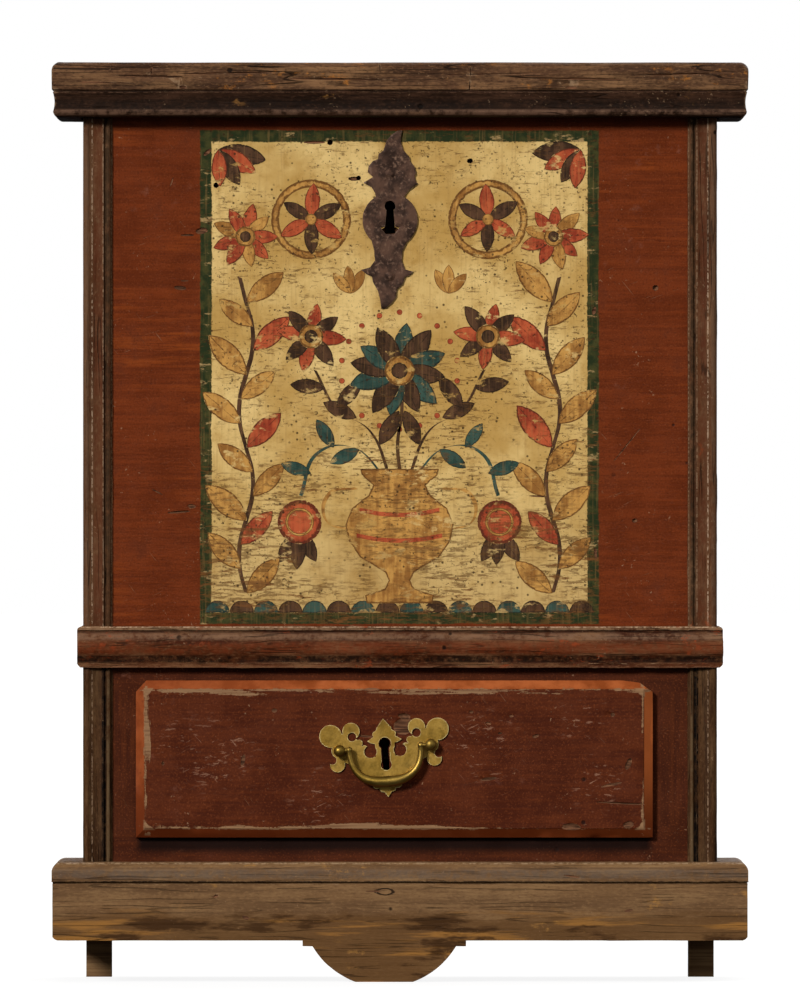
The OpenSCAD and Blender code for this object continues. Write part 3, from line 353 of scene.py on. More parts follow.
def stained(name, along, dark, mid, light, gold="#9a6a35", rub=0.5, low=None, bands=(), cracked=0.6, spots=0.55,
            cracks_at=0.46, knot=None):
    """A stain from dark to light, rubbed to gold on its edges.

    low is the top of a worn foot and its two colours. Each of bands is an axis, a middle, a half width and a
    softness in mm, a colour and how much of it. knot is x and z of a knot's middle and its half sizes, in mm.
    """
    f = Finish(name, specular=0.04)
    fibre = f.grain(along, 26, 420, detail=6, roughness=0.72)
    streak = f.grain(along, 8, 120, detail=6, roughness=0.62, shift=3.0)
    patch = f.grain(along, 17, 64, detail=6, roughness=0.64, shift=1.5)
    fine = f.noise(190, detail=6, roughness=0.7, shift=2.5)
    f.colour = f.mix(f.band(streak, 0.34, 0.64), dark, mid)
    f.coat(f.times(f.band(patch, 0.42, 0.66), f.band(fibre, 0.34, 0.6)), light)
    grit = f.grain(along, 330, 800, detail=3, shift=16.0)
    f.coat(f.band(grit, 0.52, 0.7, 0.5), light)
    f.coat(f.band(grit, 0.47, 0.3, 0.6), dark)
    if low:
        # the foot of the board is darker, with streaks rubbed to golden grain and damp stains left in it
        foot_top, foot_dark, foot_gold = low
        foot = f.band(f.plus(f.z, f.swing(patch, 30 * MM)), foot_top + 5 * MM, foot_top - 5 * MM)
        f.coat(f.times(foot, 0.7), foot_dark)
        f.coat(f.times(foot, f.band(streak, 0.52, 0.62, 0.8)), foot_gold)
        damp = f.band(f.noise((13, 13, 60), detail=6, roughness=0.65, shift=11.0), 0.54, 0.62, 0.85)
        f.coat(f.times(foot, damp), "#38220f")
    dots = f.noise(430, detail=3, roughness=0.6, shift=17.0)
    for axis, middle, half, soft, shade, amount in bands:
        # a member of the profile: a worn bead, painted shade in a hollow, painted light on the top of a round,
        # or, if narrow, an arris rubbed through in dots
        off = f.apart(f.math("ABSOLUTE", getattr(f, axis)), middle * MM)
        broken = f.band(f.plus(fine, f.times(patch, 0.5)), 0.55, 0.85, amount)
        if half < NARROW:
            broken = f.band(dots, 0.43, 0.58, amount)
        f.coat(f.times(f.band(off, (half + soft) * MM, half * MM), broken), shade)
    scale = [170.0] * 3
    scale["xyz".index(along)] = 7.0
    cracks = hairlines(f, tuple(scale), 0.014, 15.0, where=(cracks_at, cracks_at + 0.12))
    f.coat(f.times(cracks, cracked), "#150c06")
    if knot:
        # only its dark rim shows
        off = f.plus(f.away(*knot), f.times(fine, 0.8))
        rim = f.band(f.apart(off, 1.4), 0.28, 0.14, 0.9)
        f.coat(rim, "#1c1008")
    edge = f.band(f.blend(f.worn(), 0.45, fine, 0.9), 0.82, 1.0, rub)
    f.coat(edge, "#9c7d5e")
    ragged = f.blend(f.grain(along, 60, 170, detail=6, roughness=0.7, shift=8.0), 0.6, fine, 0.4)
    spot = f.times(f.band(ragged, 0.54, 0.64), f.band(f.noise(21, detail=3, shift=12.0), spots, spots + 0.11))
    f.coat(f.times(spot, 0.75), gold)
    fleck = f.times(f.band(f.noise(520, detail=3, roughness=0.6, shift=5.0), 0.64, 0.7),
                    f.band(f.noise(60, detail=3, shift=4.0), 0.52, 0.62, 0.55))
    f.coat(fleck, "#927558")
    holes = pits(f, 55, 0.13, 6.0)
    f.coat(f.times(holes, 0.9), "#0e0805")
    height = f.blend(fibre, 0.8, f.most(holes, cracks), -0.7)
    return f.done(f.colour, f.plus(f.band(patch, 0.35, 0.7, 0.25), 0.4), f.relief(height, 0.6 * MM))


lid_stain = stained("lid_stain_x", "x", "#2f1d12", "#5a3d29", "#7f5c3d", "#a9692a", 0.6, cracked=0.85, spots=0.5,
                    cracks_at=0.34)
# the band at 614.5 mm paints the lid moulding's cove nearly black: painted shade
moulding_bands = [("z", 609, 1.2, 1.5, "#604636", 0.9), ("z", 614.5, 2.2, 2.5, "#130b06", 0.7),
                  ("z", 622.8, 0.1, 0.4, "#6a4c3a", 0.5)]
moulding_stain = {a: stained("moulding_stain_" + a, a, "#1a0f08", "#2c1b11", "#452d1f", bands=moulding_bands)
                  for a in "xy"}
corner_bands = [("x", 219.6, 1.4, 1.0, "#5d4634", 0.6), ("x", 215.7, 0.15, 0.45, "#a88d74", 0.95),
                ("x", 211.6, 2.2, 1.5, "#522511", 0.55), ("x", 208.0, 0.1, 0.4, "#94795f", 0.9),
                ("x", 205.2, 1.4, 0.8, "#2b2014", 0.8), ("x", 202.3, 0.1, 0.4, "#8a6e54", 0.8)]
# the near-black band at 207.4 mm is painted shade in the groove beside the bead
lower_corner_bands = [("x", 215.7, 0.15, 0.5, "#8a7058", 0.8), ("x", 207.4, 1.3, 0.6, "#0d0704", 1.0),
                      ("x", 204.4, 0.6, 0.8, "#5d4a33", 0.8)]
corner_stain = {"upper": stained("corner_stain_upper", "z", "#482a19", "#5c3b24", "#705037", "#7a3a1c", 0.6,
                                 bands=corner_bands),
                "lower": stained("corner_stain_lower", "z", "#2c1a0d", "#442a16", "#5c4229", "#6a3319", 0.6,
                                 bands=lower_corner_bands)}
# painted shade in the waist's groove (245 mm) and cove (226 mm); painted light with pale scuffs atop the round
# (241.8 mm)
waist_bands = [("z", 247.6, 1.2, 0.7, "#86664a", 0.85), ("z", 248.3, 0.1, 0.5, "#b8997a", 0.9),
               ("z", 245, 0.3, 0.5, "#1f1009", 0.7), ("z", 241.8, 0.8, 2.8, "#80614a", 0.6),
               ("z", 233.8, 2.4, 3.2, "#6d2f15", 0.6), ("z", 226, 1.6, 1.6, "#170a04", 0.95),
               ("z", 220.6, 0.2, 0.6, "#6f4a34", 0.6)]
waist_stain = {a: stained("waist_stain_" + a, a, "#381809", "#552e18", "#745034", "#8a3a1a", 0.7, bands=waist_bands,
                          spots=0.47) for a in "xy"}
base_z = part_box("base_left")[0].z
base_foot = (base_z + 17 * MM, "#5c3e20", "#94652f")
# the dark band at 70.2 mm is painted shade in the groove under the base's bead
base_bands = [("z", 83, 0.2, 0.8, "#a08466", 0.8), ("z", 70.2, 0.4, 0.5, "#1e1108", 0.95),
              ("z", 75.5, 2, 2.5, "#5a5048", 0.5), ("z", 79.6, 0.3, 0.8, "#5f4630", 0.8)]
base_stain = {a: stained("base_stain_" + a, a, "#5e432b", "#745537", "#856543", "#a0723a", 0.5, base_foot,
                         base_bands, 0.4, knot=(-10.6, 63.2, 6.2, 2.1) if a == "x" else None) for a in "xy"}
print("stains for lid, mouldings, corners, waist and base")

# %% [markdown]
# ## Iron and brass
# The key plate, hinges and lock are hammered iron with a brown skin. The pull is cast brass: olive and brown where
# dirt sits, bright where fingers rub its rim and its bail.

# %% Iron and brass
def hammered_iron():
    f = Finish("hammered_iron", metallic=0.3, specular=0.12)
    dent = f.cells(170, "SMOOTH_F1", 1.0)
    rust = f.noise(90, detail=6, roughness=0.65, shift=2.0)
    fine = f.noise(420, detail=4, shift=5.0)
    f.colour = f.mix(f.band(rust, 0.38, 0.62), "#33231b", "#5a4032")
    f.coat(f.times(f.band(fine, 0.5, 0.7), f.band(dent, 0.7, 0.3)), "#765a48")
    edge = f.band(f.blend(f.worn(), 0.6, fine, 0.5), 0.62, 0.85, 0.55)
    f.coat(edge, "#8d7662")
    height = f.blend(dent, 0.7, fine, 0.4)
    return f.done(f.colour, f.plus(f.band(rust, 0.3, 0.7, 0.3), 0.42), f.relief(height, 0.6 * MM))


def aged_brass(name, light, mid, skin):
    f = Finish(name, metallic=1.0, specular=0.5)
    film = f.noise(110, detail=6, roughness=0.6, shift=1.0)
    cast = f.noise(45, detail=3, shift=3.0)
    fine = f.noise(600, detail=3, shift=6.0)
    f.colour = f.mix(f.band(cast, 0.4, 0.66), light, mid)
    f.coat(f.band(film, 0.5, 0.72, 0.75), skin)
    rubbed = f.band(f.blend(f.worn(), 0.75, film, -0.2), 0.2, 0.6, 0.85)
    f.coat(rubbed, "#d6bf82")
    shine = f.plus(f.band(film, 0.35, 0.7, 0.2), 0.38)
    return f.done(f.colour, shine, f.relief(f.plus(fine, film), 0.08 * MM))


iron = hammered_iron()
brass = aged_brass("aged_brass", "#b18d44", "#93722f", "#66501c")
bail_brass = aged_brass("aged_brass_bail", "#9a7d3c", "#7c6226", "#574216")
print("iron and brass ready")

# %% [markdown]
# ## Ageing a piece
# The CAD pieces have clean machine edges. An old chest has none, so each piece that shows gets an aged copy: the
# copy's loose triangles are merged, its sharp edges are rounded with a bevel, chips are cut out of it, it is cut
# into short lengths with bisect so that it can bend, and Displace modifiers sway its faces, dent them and rub its
# arrises unevenly. The copy then replaces the CAD node, which stays hidden for collision. The chips come before the
# sway, because a boolean across bent faces could leave gaps.

# %% Ageing a piece
import bmesh


def only(piece):
    deselect()
    piece.select_set(True)
    bpy.context.view_layer.objects.active = piece


def open_mesh(piece):
    only(piece)
    bpy.ops.object.mode_set(mode="EDIT")
    bpy.ops.mesh.select_all(action="SELECT")


def close_mesh():
    bpy.ops.object.mode_set(mode="OBJECT")


def whole_faces(piece, merge=0.005):
    """Merges corners less than merge mm apart, and the triangles of each flat face into one face."""
    open_mesh(piece)
    bpy.ops.mesh.remove_doubles(threshold=merge * MM)
    bpy.ops.mesh.dissolve_limited(angle_limit=math.radians(0.5))
    close_mesh()


def bisect(point, normal, **how):
    """Cuts the open mesh along a plane."""
    bpy.ops.mesh.select_all(action="SELECT")
    bpy.ops.mesh.bisect(plane_co=point, plane_no=normal, **how)


def slice_off(piece, point, normal, **side):
    """Cuts a side off the piece, which clear_outer or clear_inner names, and closes the cut."""
    open_mesh(piece)
    bisect(point, normal, use_fill=True, **side)
    close_mesh()


def modify(piece, kind, **settings):
    """Gives the piece a modifier with these settings, and applies it."""
    only(piece)
    bpy.ops.object.modifier_add(type=kind)
    modifier = piece.modifiers[-1]
    for key, value in settings.items():
        setattr(modifier, key, value)
    bpy.ops.object.modifier_apply(modifier=modifier.name)


def combine(piece, other, operation, materials="INDEX"):
    """Adds another mesh to the piece or takes it away, and removes the other."""
    modify(piece, "BOOLEAN", operation=operation, solver="EXACT", object=other, material_mode=materials)
    bpy.data.objects.remove(other)


def measure(piece, ask):
    """What ask finds in the piece's mesh, which it gets as a bmesh."""
    mesh = bmesh.new()
    mesh.from_mesh(piece.data)
    found = ask(mesh)
    mesh.free()
    return found


def write(piece, name, values):
    """Keeps a number for each corner of the piece, in an attribute that a finish can read."""
    piece.data.attributes.new(name, "FLOAT", "POINT").data.foreach_set("value", values)


def merged_copy(node, name):
    """A copy of a CAD node without its stored normals, its doubled corners merged and its flat faces whole."""
    source = frame["nodes"][node]
    piece = bpy.data.objects.new(name, source.data.copy())
    bpy.context.scene.collection.objects.link(piece)
    piece.data.materials.clear()
    only(piece)
    bpy.ops.mesh.customdata_custom_splitnormals_clear()
    whole_faces(piece)
    return piece


def soften_edges(piece, width, segments=3, sharp=28, knife=110):
    """Rounds the sharp edges, but not the knife edges of a mitre, which close against those of the next piece."""
    open_mesh(piece)
    bpy.ops.mesh.select_mode(type="EDGE")
    bpy.ops.mesh.select_all(action="DESELECT")
    close_mesh()
    turns = measure(piece, lambda mesh: [math.degrees(edge.calc_face_angle(0.0)) for edge in mesh.edges])
    piece.data.edges.foreach_set("select", [sharp < turn < knife for turn in turns])
    bpy.ops.object.mode_set(mode="EDIT")
    bpy.ops.mesh.bevel(offset=width * MM, segments=segments, profile=0.5, affect="EDGES", clamp_overlap=True)
    bpy.ops.mesh.select_mode(type="VERT")
    close_mesh()


def cut_lengths(piece, axis, spacing):
    """Bisects the piece across one axis, every spacing millimetres."""
    at = "xyz".index(axis)
    places = [v.co[at] for v in piece.data.vertices]
    low, count = min(places), max(2, round((max(places) - min(places)) / (spacing * MM)))
    normal = [0, 0, 0]
    normal[at] = 1
    open_mesh(piece)
    for i in range(1, count):
        point = [0, 0, 0]
        point[at] = low + (max(places) - low) * i / count
        bisect(point, normal)
    close_mesh()


def mark_arrises(piece, full):
    """Writes how sharply the surface turns outwards at each corner, as a weight and as the attribute worn."""
    def outwards(vert):
        angles = [e.calc_face_angle_signed(0.0) for e in vert.link_edges if len(e.link_faces) == 2]
        return min(1.0, max(0.0, sum(angles) / math.radians(full)))

    turns = measure(piece, lambda mesh: [outwards(vert) for vert in mesh.verts])
    write(piece, "worn", turns)
    group = piece.vertex_groups.new(name="arris")
    for i, turn in enumerate(turns):
        if turn > 0.05:
            group.add([i], turn, "REPLACE")


def displace(piece, name, size, depth, level=0.5, group="", contrast=1.0):
    texture = bpy.data.textures.new(name, "CLOUDS")
    texture.noise_scale = size * MM
    texture.noise_depth = 3
    texture.contrast = contrast
    modify(piece, "DISPLACE", texture=texture, texture_coords="LOCAL", strength=depth * MM, mid_level=level,
           vertex_group=group)


def torn_wood():
    f = Finish("torn_wood", roughness=0.8, specular=0.1)
    fibre = f.grain("x", 40, 700, detail=4)
    f.colour = f.mix(f.band(fibre, 0.35, 0.65), "#3a2214", "#7a5238")
    return f.done(f.colour, normal=f.relief(fibre, 0.5 * MM))


torn = torn_wood()
CHIP_MERGE = 0.003 * MM


def chip(piece, places):
    """Cuts hollows into the front of a piece: each is x, z, width, height, depth in mm, and a turn in degrees."""
    face = min(v.co.y for v in piece.data.vertices)
    for x, z, wide, high, deep, turn in places:
        deselect()
        bpy.ops.mesh.primitive_ico_sphere_add(subdivisions=2, location=(x * MM, face, z * MM),
                                              rotation=(0, math.radians(turn), 0),
                                              scale=(wide / 2 * MM, deep * MM, high / 2 * MM))
        cutter = bpy.context.object
        cutter.data.materials.append(torn)
        bpy.ops.object.transform_apply()
        combine(piece, cutter, "DIFFERENCE", "TRANSFER")
    # gaps are closed, and faces become triangles, because a later cut across a face with a hollow could open it
    open_mesh(piece)
    bpy.ops.mesh.remove_doubles(threshold=CHIP_MERGE)
    bpy.ops.mesh.fill_holes(sides=0)
    bpy.ops.mesh.quads_convert_to_tris()
    close_mesh()


def finish_piece(piece, node, smooth):
    only(piece)
    bpy.ops.object.shade_smooth_by_angle(angle=math.radians(smooth))
    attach(piece, body_of_node[node])
    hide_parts(node)


SWAY_SIZE, HAMMER_SIZE, RUB_SIZE = 70, 6, 14


def aged(node, finish, round_off=0, cuts="", spacing=7, sway=0, rub=0, chips=(), hammer=0, full=55, remake=None,
         smooth=42, segments=3):
    """The aged copy of a node: round_off, spacing, sway, hammer and rub are in mm, and cuts names axes."""
    piece = merged_copy(node, node + "_aged")
    piece.data.materials.append(finish)
    if remake:
        remake(piece)
    if round_off:
        soften_edges(piece, round_off, segments)
    if chips:
        chip(piece, chips)
    for axis in cuts:
        cut_lengths(piece, axis, spacing)
    mark_arrises(piece, full)
    if sway:
        displace(piece, node + "_sway", SWAY_SIZE, sway)
    if hammer:
        displace(piece, node + "_hammer", HAMMER_SIZE, hammer)
    if rub:
        displace(piece, node + "_rub", RUB_SIZE, -rub, level=0.25, group="arris", contrast=2.2)
    finish_piece(piece, node, smooth)


print("ageing tools ready")

# %% [markdown]
# ## Lid, mouldings and base
# These pieces are long runs of one profile, so they are cut along their length and swayed a little, because no
# hand-planed moulding is quite straight. The lid takes the most rubbing.

# %% Lid, mouldings and base
lid_chips = [(49, 632, 0.8, 20, 3, 3), (-14, 639, 0.7, 9, 3, -4), (-174, 638, 0.7, 6, 2, 5),
             (-152, 626.3, 5.2, 2.4, 1.3, 4), (120, 626, 9, 1.6, 1, 0), (205, 640, 4, 2, 1.5, 0),
             (-178, 634.2, 56, 0.8, 1.6, 1.5), (-118, 636.4, 82, 0.7, 1.6, -1), (-40, 632, 90, 0.7, 1.4, 0.8),
             (62, 635.6, 64, 0.7, 1.4, -1), (118, 632.4, 80, 0.8, 1.6, 1), (190, 635.4, 60, 0.7, 1.4, -1.2),
             (-205, 629.6, 40, 0.7, 1.2, 1)]
aged("lid_board", lid_stain, round_off=1.6, cuts="xyz", spacing=9, sway=0.7, rub=1.1, chips=lid_chips)
runs = {"front": "x", "left": "y", "right": "y"}
for side, along in runs.items():
    aged("lid_moulding_" + side, moulding_stain[along], round_off=0.5, cuts=along, spacing=6, sway=0.4, rub=0.7)
WAIST_GROOVE, WAIST_TOP = 244.1 * MM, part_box("waist_moulding_front")[1].z
BEAD_WEAR = 2.1 * MM


def wear_bead(waist):
    """The bead on the waist has worn down: what is above the groove is made lower."""
    keep = 1 - BEAD_WEAR / (WAIST_TOP - WAIST_GROOVE)
    for vert in waist.data.vertices:
        vert.co.z = WAIST_GROOVE + (vert.co.z - WAIST_GROOVE) * (keep if vert.co.z > WAIST_GROOVE else 1)


def reach_bead(corner):
    """The upper corner mouldings stand on the worn bead, so their feet come down with it."""
    for vert in corner.data.vertices:
        if vert.co.z < WAIST_TOP + 1 * MM:
            vert.co.z -= BEAD_WEAR


for side in ("left", "right"):
    for level, remake in (("upper", reach_bead), ("lower", None)):
        aged(f"corner_moulding_{level}_{side}", corner_stain[level], round_off=0.4, cuts="z", spacing=6, sway=0.3,
             rub=0.5, remake=remake)
for side, along in runs.items():
    aged("waist_moulding_" + side, waist_stain[along], round_off=0.5, cuts=along, spacing=6, sway=0.4, rub=0.8,
         remake=wear_bead)
DROP_X, DROP_R, DROP_FLAT, DROP_STEP, DROP_STEP_RUN = (v * MM for v in (-11, 58.5, 40, 4, 7))
FASCIA_BACK, OVERLAP, PROUD = 0.6 * MM, 3 * MM, 0.02 * MM


def smooth_drop(base):
    """Trades the drop's facets for a disc of 192 sides under a small step, in one piece with the board.

    Faces that lie in one plane make a union fail, so each added piece stands a hair proud until the corners merge.
    """
    face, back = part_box("base_front")[0].y + FASCIA_BACK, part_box("base_front")[1].y
    middle, depth, curve_top = (face + back) / 2, back - face, base_z - DROP_STEP
    centre = math.sqrt(DROP_R ** 2 - DROP_FLAT ** 2 / 4)
    half = math.sqrt(DROP_R ** 2 - (centre - curve_top) ** 2) + DROP_STEP_RUN
    slice_off(base, (0, 0, base_z), (0, 0, 1), clear_inner=True)
    deselect()
    bpy.ops.mesh.primitive_cylinder_add(vertices=192, radius=DROP_R, depth=depth + 2 * PROUD,
                                        location=(DROP_X, middle, centre), rotation=(math.radians(90), 0, 0))
    bpy.ops.object.transform_apply()
    disc = bpy.context.object
    slice_off(disc, (0, 0, curve_top + OVERLAP), (0, 0, 1), clear_outer=True)
    slice_off(disc, (0, 0, 0), (0, 0, 1), clear_inner=True)
    bpy.ops.mesh.primitive_cube_add(size=1, location=(DROP_X, middle, (curve_top + base_z + OVERLAP) / 2),
                                    scale=(2 * half, depth + 4 * PROUD, base_z + OVERLAP - curve_top))
    step = bpy.context.object
    bpy.ops.object.transform_apply()
    for added in (disc, step):
        combine(base, added, "UNION")
    whole_faces(base, 3 * PROUD / MM)


END_ROUND = 5 * MM
GROOVE_LOW, GROOVE_HIGH, GROOVE_DEPTH, GROOVE_REACH = 68.2 * MM, 70.4 * MM, 0.7 * MM, 5 * MM


def round_ends(base):
    """Cuts the lower corners at the ends of the base to a round, with three flat cuts each."""
    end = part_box("base_front")[1].x
    for side in (1, -1):
        for angle in (22.5, 45, 67.5):
            out, down = math.sin(math.radians(angle)), math.cos(math.radians(angle))
            point = (side * (end - END_ROUND * (1 - out)), 0, base_z + END_ROUND * (1 - down))
            slice_off(base, point, (side * out, 0, -down), clear_outer=True)


def base_end(base):
    """A side of the base: its end is rounded, and the groove under its bead is nearly full of old dirt."""
    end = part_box("base_front")[1].x
    for vert in base.data.vertices:
        if GROOVE_LOW < vert.co.z < GROOVE_HIGH and end - GROOVE_REACH < abs(vert.co.x) < end - GROOVE_DEPTH:
            vert.co.x = math.copysign(end - GROOVE_DEPTH, vert.co.x)
    round_ends(base)


def base_middle(base):
    smooth_drop(base)
    round_ends(base)


base_chips = [(-129, 60, 4, 2.2, 2, -20), (-19, 63.5, 14, 1.2, 1, 0), (-108, 45, 8, 4, 0.8, 15),
              (120, 74, 12, 1.2, 1, 8), (160, 50, 10, 3, 0.8, -10)]
aged("base_front", base_stain["x"], round_off=1, cuts="xz", spacing=6, sway=0.35, rub=0.4, chips=base_chips,
     remake=base_middle)
for node in ("base_left", "base_right"):
    aged(node, base_stain["y"], round_off=1, cuts="yz", sway=0.35, rub=0.4, remake=base_end)

# %% [markdown]
# ## Painted panel: ground and border
# The front board is red, with a cream panel in a green border painted over it. The panel could be a separate sheet,
# but paint has no thickness to speak of, so it is laid on by nodes: the distance to a rectangle, made uneven by
# noise, says where green and cream begin. Cream oil paint over softwood ages in short dark dashes along the grain,
# specks, and brown patches where it has come off, more of them low down.

# %% Painted panel: ground and border
PANEL_X, PANEL_Z = -0.35 * MM, 423.5 * MM
PANEL_HALF_X, PANEL_HALF_Z = 139.65 * MM, 172.9 * MM
BORDER, SOFT = 8 * MM, 0.4 * MM


def cream_layers(f):
    cloud = f.noise(16, detail=5, roughness=0.6, shift=31.0)
    fine = f.noise(130, detail=5, roughness=0.65, shift=32.0)
    f.colour = f.mix(f.band(cloud, 0.35, 0.65), "#dcbb79", "#b58e4c")
    f.coat(f.band(f.z, 350 * MM, 280 * MM, 0.4), "#9a7644")
    f.coat(f.band(fine, 0.5, 0.72, 0.5), "#976f31")
    return f.colour


def panel_age(f, strength=1.0):
    """Coats of age, over ground and design alike: dashes along the grain, specks and bare brown patches."""
    lower = f.band(f.z, 470 * MM, 280 * MM, 0.07)
    dash = f.grain("x", 120, 640, detail=5, roughness=0.66, shift=33.0)
    here = f.noise(26, detail=5, roughness=0.6, shift=34.0)
    dashes = f.times(f.band(f.plus(dash, lower), 0.56, 0.65), f.band(f.plus(here, lower), 0.38, 0.58))
    brushed = f.band(f.grain("z", 26, 620, detail=4, shift=38.0), 0.52, 0.68, 0.22)
    f.coat(brushed, "#957040")
    f.coat(f.times(dashes, 0.7 * strength), "#5f3f1d")
    flake = f.grain("x", 34, 210, detail=6, roughness=0.7, shift=35.0)
    torn_off = f.times(f.band(f.plus(flake, lower), 0.63, 0.68), f.band(f.plus(here, lower), 0.5, 0.58))
    f.coat(f.times(torn_off, 0.85 * strength), "#6d4420")
    speck = f.times(f.band(f.cells(190, "F1", 36.0), 0.21, 0.1),
                    f.band(f.noise(42, detail=3, shift=37.0), 0.43, 0.55))
    dust = f.times(f.band(f.noise(560, detail=3, shift=39.0), 0.61, 0.69), f.band(here, 0.34, 0.54))
    f.coat(f.times(f.most(speck, dust), 0.85), "#33210f")
    return dashes


def front_paint():
    f = Finish("front_board_paint", specular=0.06)
    paint, height, shine = red_layers(f, "x")
    wood, _ = bare_layers(f, "x")
    waver = f.swing(f.noise(35, detail=4, shift=41.0), 2.4 * MM)
    ragged = f.swing(f.noise(500, detail=3, shift=42.0), 1.6 * MM)
    across = f.plus(f.apart(f.x, PANEL_X), -PANEL_HALF_X)
    up = f.plus(f.apart(f.z, PANEL_Z), -PANEL_HALF_Z)
    reach = f.plus(f.most(across, up), f.plus(waver, ragged))
    green = f.mix(f.band(f.noise(150, detail=5, shift=43.0), 0.42, 0.66), "#232c15", "#403e1e")
    rubbed = f.band(f.noise((60, 60, 160), detail=5, roughness=0.65, shift=44.0), 0.58, 0.66, 0.85)
    green = f.mix(rubbed, green, "#a98a5a")
    f.colour = f.mix(f.band(reach, -BORDER + SOFT, -BORDER - SOFT), green, cream_layers(f))
    dashes = panel_age(f)
    face = f.mix(f.band(reach, SOFT, -SOFT), paint, f.colour)
    # the dovetails that show at the sides are red too
    shown = f.most(painted(f, f.y, front_y, -1), painted(f, f.math("ABSOLUTE", f.x), side_x, 1))
    height = f.plus(height, f.times(dashes, -0.4))
    return f.done(f.mix(shown, wood, face), shine, f.relief(height, PAINT_RELIEF))


board_chips = [(-49, 588, 4, 4, 9, 0), (-128.8, 558, 4, 4, 9, 0), (-32, 562.5, 9, 3, 2, 0),
               (-29, 563, 3.4, 3.4, 9, 0), (49, 575, 4.4, 3.6, 9, 0), (-77.7, 458, 3.6, 3.6, 9, 0),
               (-74, 456.5, 2.2, 2.2, 5, 0), (-135, 581, 7, 3, 1.2, -40), (-139, 526, 9, 4.5, 1.5, -8),
               (-149, 523, 10, 1.6, 1.2, 0), (-154, 486, 9, 3, 0.8, 6), (-151, 491, 6, 1.2, 0.6, 0),
               (-155, 329, 17, 1.8, 1.6, -4), (-146, 333, 6, 3, 1.2, 10), (179, 486, 4.5, 4, 3, 0),
               (164.5, 323, 4, 3, 2, 0), (97, 340, 14, 1.2, 1, 3), (-60, 588, 16, 2.2, 1.5, 0),
               (136, 470, 3, 6, 1, 10), (137, 300, 2.4, 8, 0.9, -5), (159, 376, 32, 0.9, 0.5, -51),
               (-170, 343, 9, 1, 0.5, 28), (-160, 560, 1, 7, 0.4, 20), (-7, 526, 13, 6, 15, 0)]
aged("front_board", front_paint(), chips=board_chips, smooth=6)
print("front board with", len(board_chips), "chips and holes")

# %% [markdown]
# ## Painted panel: design
# The panel carries a flower piece of common motifs: an urn, a daisy, rosettes, wheels, leaves and dots. The colours
# could be drawn by nodes, but shapes with an outline are easier to model: a leaf is half a circle cut off with
# bisect and mirrored, a wheel is a ring and six leaves, and a stem is a curve drawn with a flat brush, which is one
# extrude sideways. Each shape is inset, and an attribute named inside says how far a point is from the outline, so
# the paint can be darker and ragged at its edge.

# %% Painted panel: shapes
from mathutils import Euler, Matrix

UPRIGHT = (math.radians(90), 0, 0)


def with_rim(name, width, middle=None):
    """Insets the active shape by width, and writes 0 on its outline and 1, or what middle says, inside it."""
    shape = bpy.context.object
    shape.name = name
    bpy.ops.object.transform_apply()
    if width:
        open_mesh(shape)
        bpy.ops.mesh.inset(thickness=width, use_boundary=True)
        close_mesh()
    rimmed = width or middle

    def share(vert):
        return 0.0 if rimmed and vert.is_boundary else middle(vert) if middle else 1.0

    write(shape, "inside", measure(shape, lambda mesh: [share(vert) for vert in mesh.verts]))
    return shape


def circle(vertices, radius=1, x=0, z=0):
    deselect()
    bpy.ops.mesh.primitive_circle_add(vertices=vertices, radius=radius, fill_type="NGON", rotation=UPRIGHT,
                                      location=(x, 0, z))
    bpy.ops.object.transform_apply()
    return bpy.context.object


def disc_shape():
    circle(28)
    return with_rim("disc", 0.28)


def scallop_shape():
    open_mesh(circle(28))
    bisect((0, 0, 0), (0, 0, 1), clear_inner=True)
    close_mesh()
    return with_rim("scallop", 0.15)


def leaf_shape(width=0.42, rib=0.03):
    """A leaf of length 1 that stands on its tip, with a darker rib along its middle."""
    radius = (1 + width ** 2) / (4 * width)
    open_mesh(circle(96, radius, radius - width / 2, 0.5))
    bisect((0, 0, 0), (1, 0, 0), clear_outer=True)
    bpy.ops.mesh.select_all(action="SELECT")
    bpy.ops.mesh.symmetrize(direction="NEGATIVE_X", threshold=0.001)
    bpy.ops.mesh.select_all(action="SELECT")
    bpy.ops.mesh.dissolve_limited(angle_limit=math.radians(0.1), use_dissolve_boundaries=False)
    bpy.ops.mesh.select_all(action="SELECT")
    bpy.ops.mesh.inset(thickness=0)
    bpy.ops.transform.resize(value=(0.76, 1, 0.9), center_override=(0, 0, 0.5))
    for x in (-rib, 0, rib):
        bisect((x, 0, 0), (1, 0, 0))
    close_mesh()
    return with_rim("leaf", 0, lambda vert: 0.35 if abs(vert.co.x) < 0.001 else 1.0)


def ring_shape(band=0.2):
    open_mesh(circle(48))
    bpy.ops.mesh.inset(thickness=band / 2)
    bpy.ops.mesh.inset(thickness=band / 2)
    bpy.ops.mesh.delete(type="FACE")
    close_mesh()
    shape = with_rim("ring", 0)
    middle = [1.0 if abs(v.co.length - 1 + band / 2) < 0.02 else 0.0 for v in shape.data.vertices]
    shape.data.attributes["inside"].data.foreach_set("value", middle)
    return shape


URN = [(0, 20), (5, 21), (9, 9), (14, 6.5), (19, 9), (28, 24), (38, 31), (48, 33), (58, 29), (66, 19), (72, 16),
       (78, 23), (82, 24)]


def urn_shape():
    bpy.ops.mesh.primitive_grid_add(x_subdivisions=1, y_subdivisions=len(URN) - 1, size=2, rotation=UPRIGHT)
    shape = bpy.context.object
    bpy.ops.object.transform_apply()
    rows = sorted({round(v.co.z, 4) for v in shape.data.vertices})
    for vert in shape.data.vertices:
        height, half = URN[rows.index(round(vert.co.z, 4))]
        vert.co = (math.copysign(half, vert.co.x), 0, height)
    return with_rim("urn", 1.6)


shapes = {"disc": disc_shape(), "scallop": scallop_shape(), "leaf": leaf_shape(), "ring": ring_shape(),
          "urn": urn_shape()}
print("shapes:", {name: len(shape.data.polygons) for name, shape in shapes.items()})

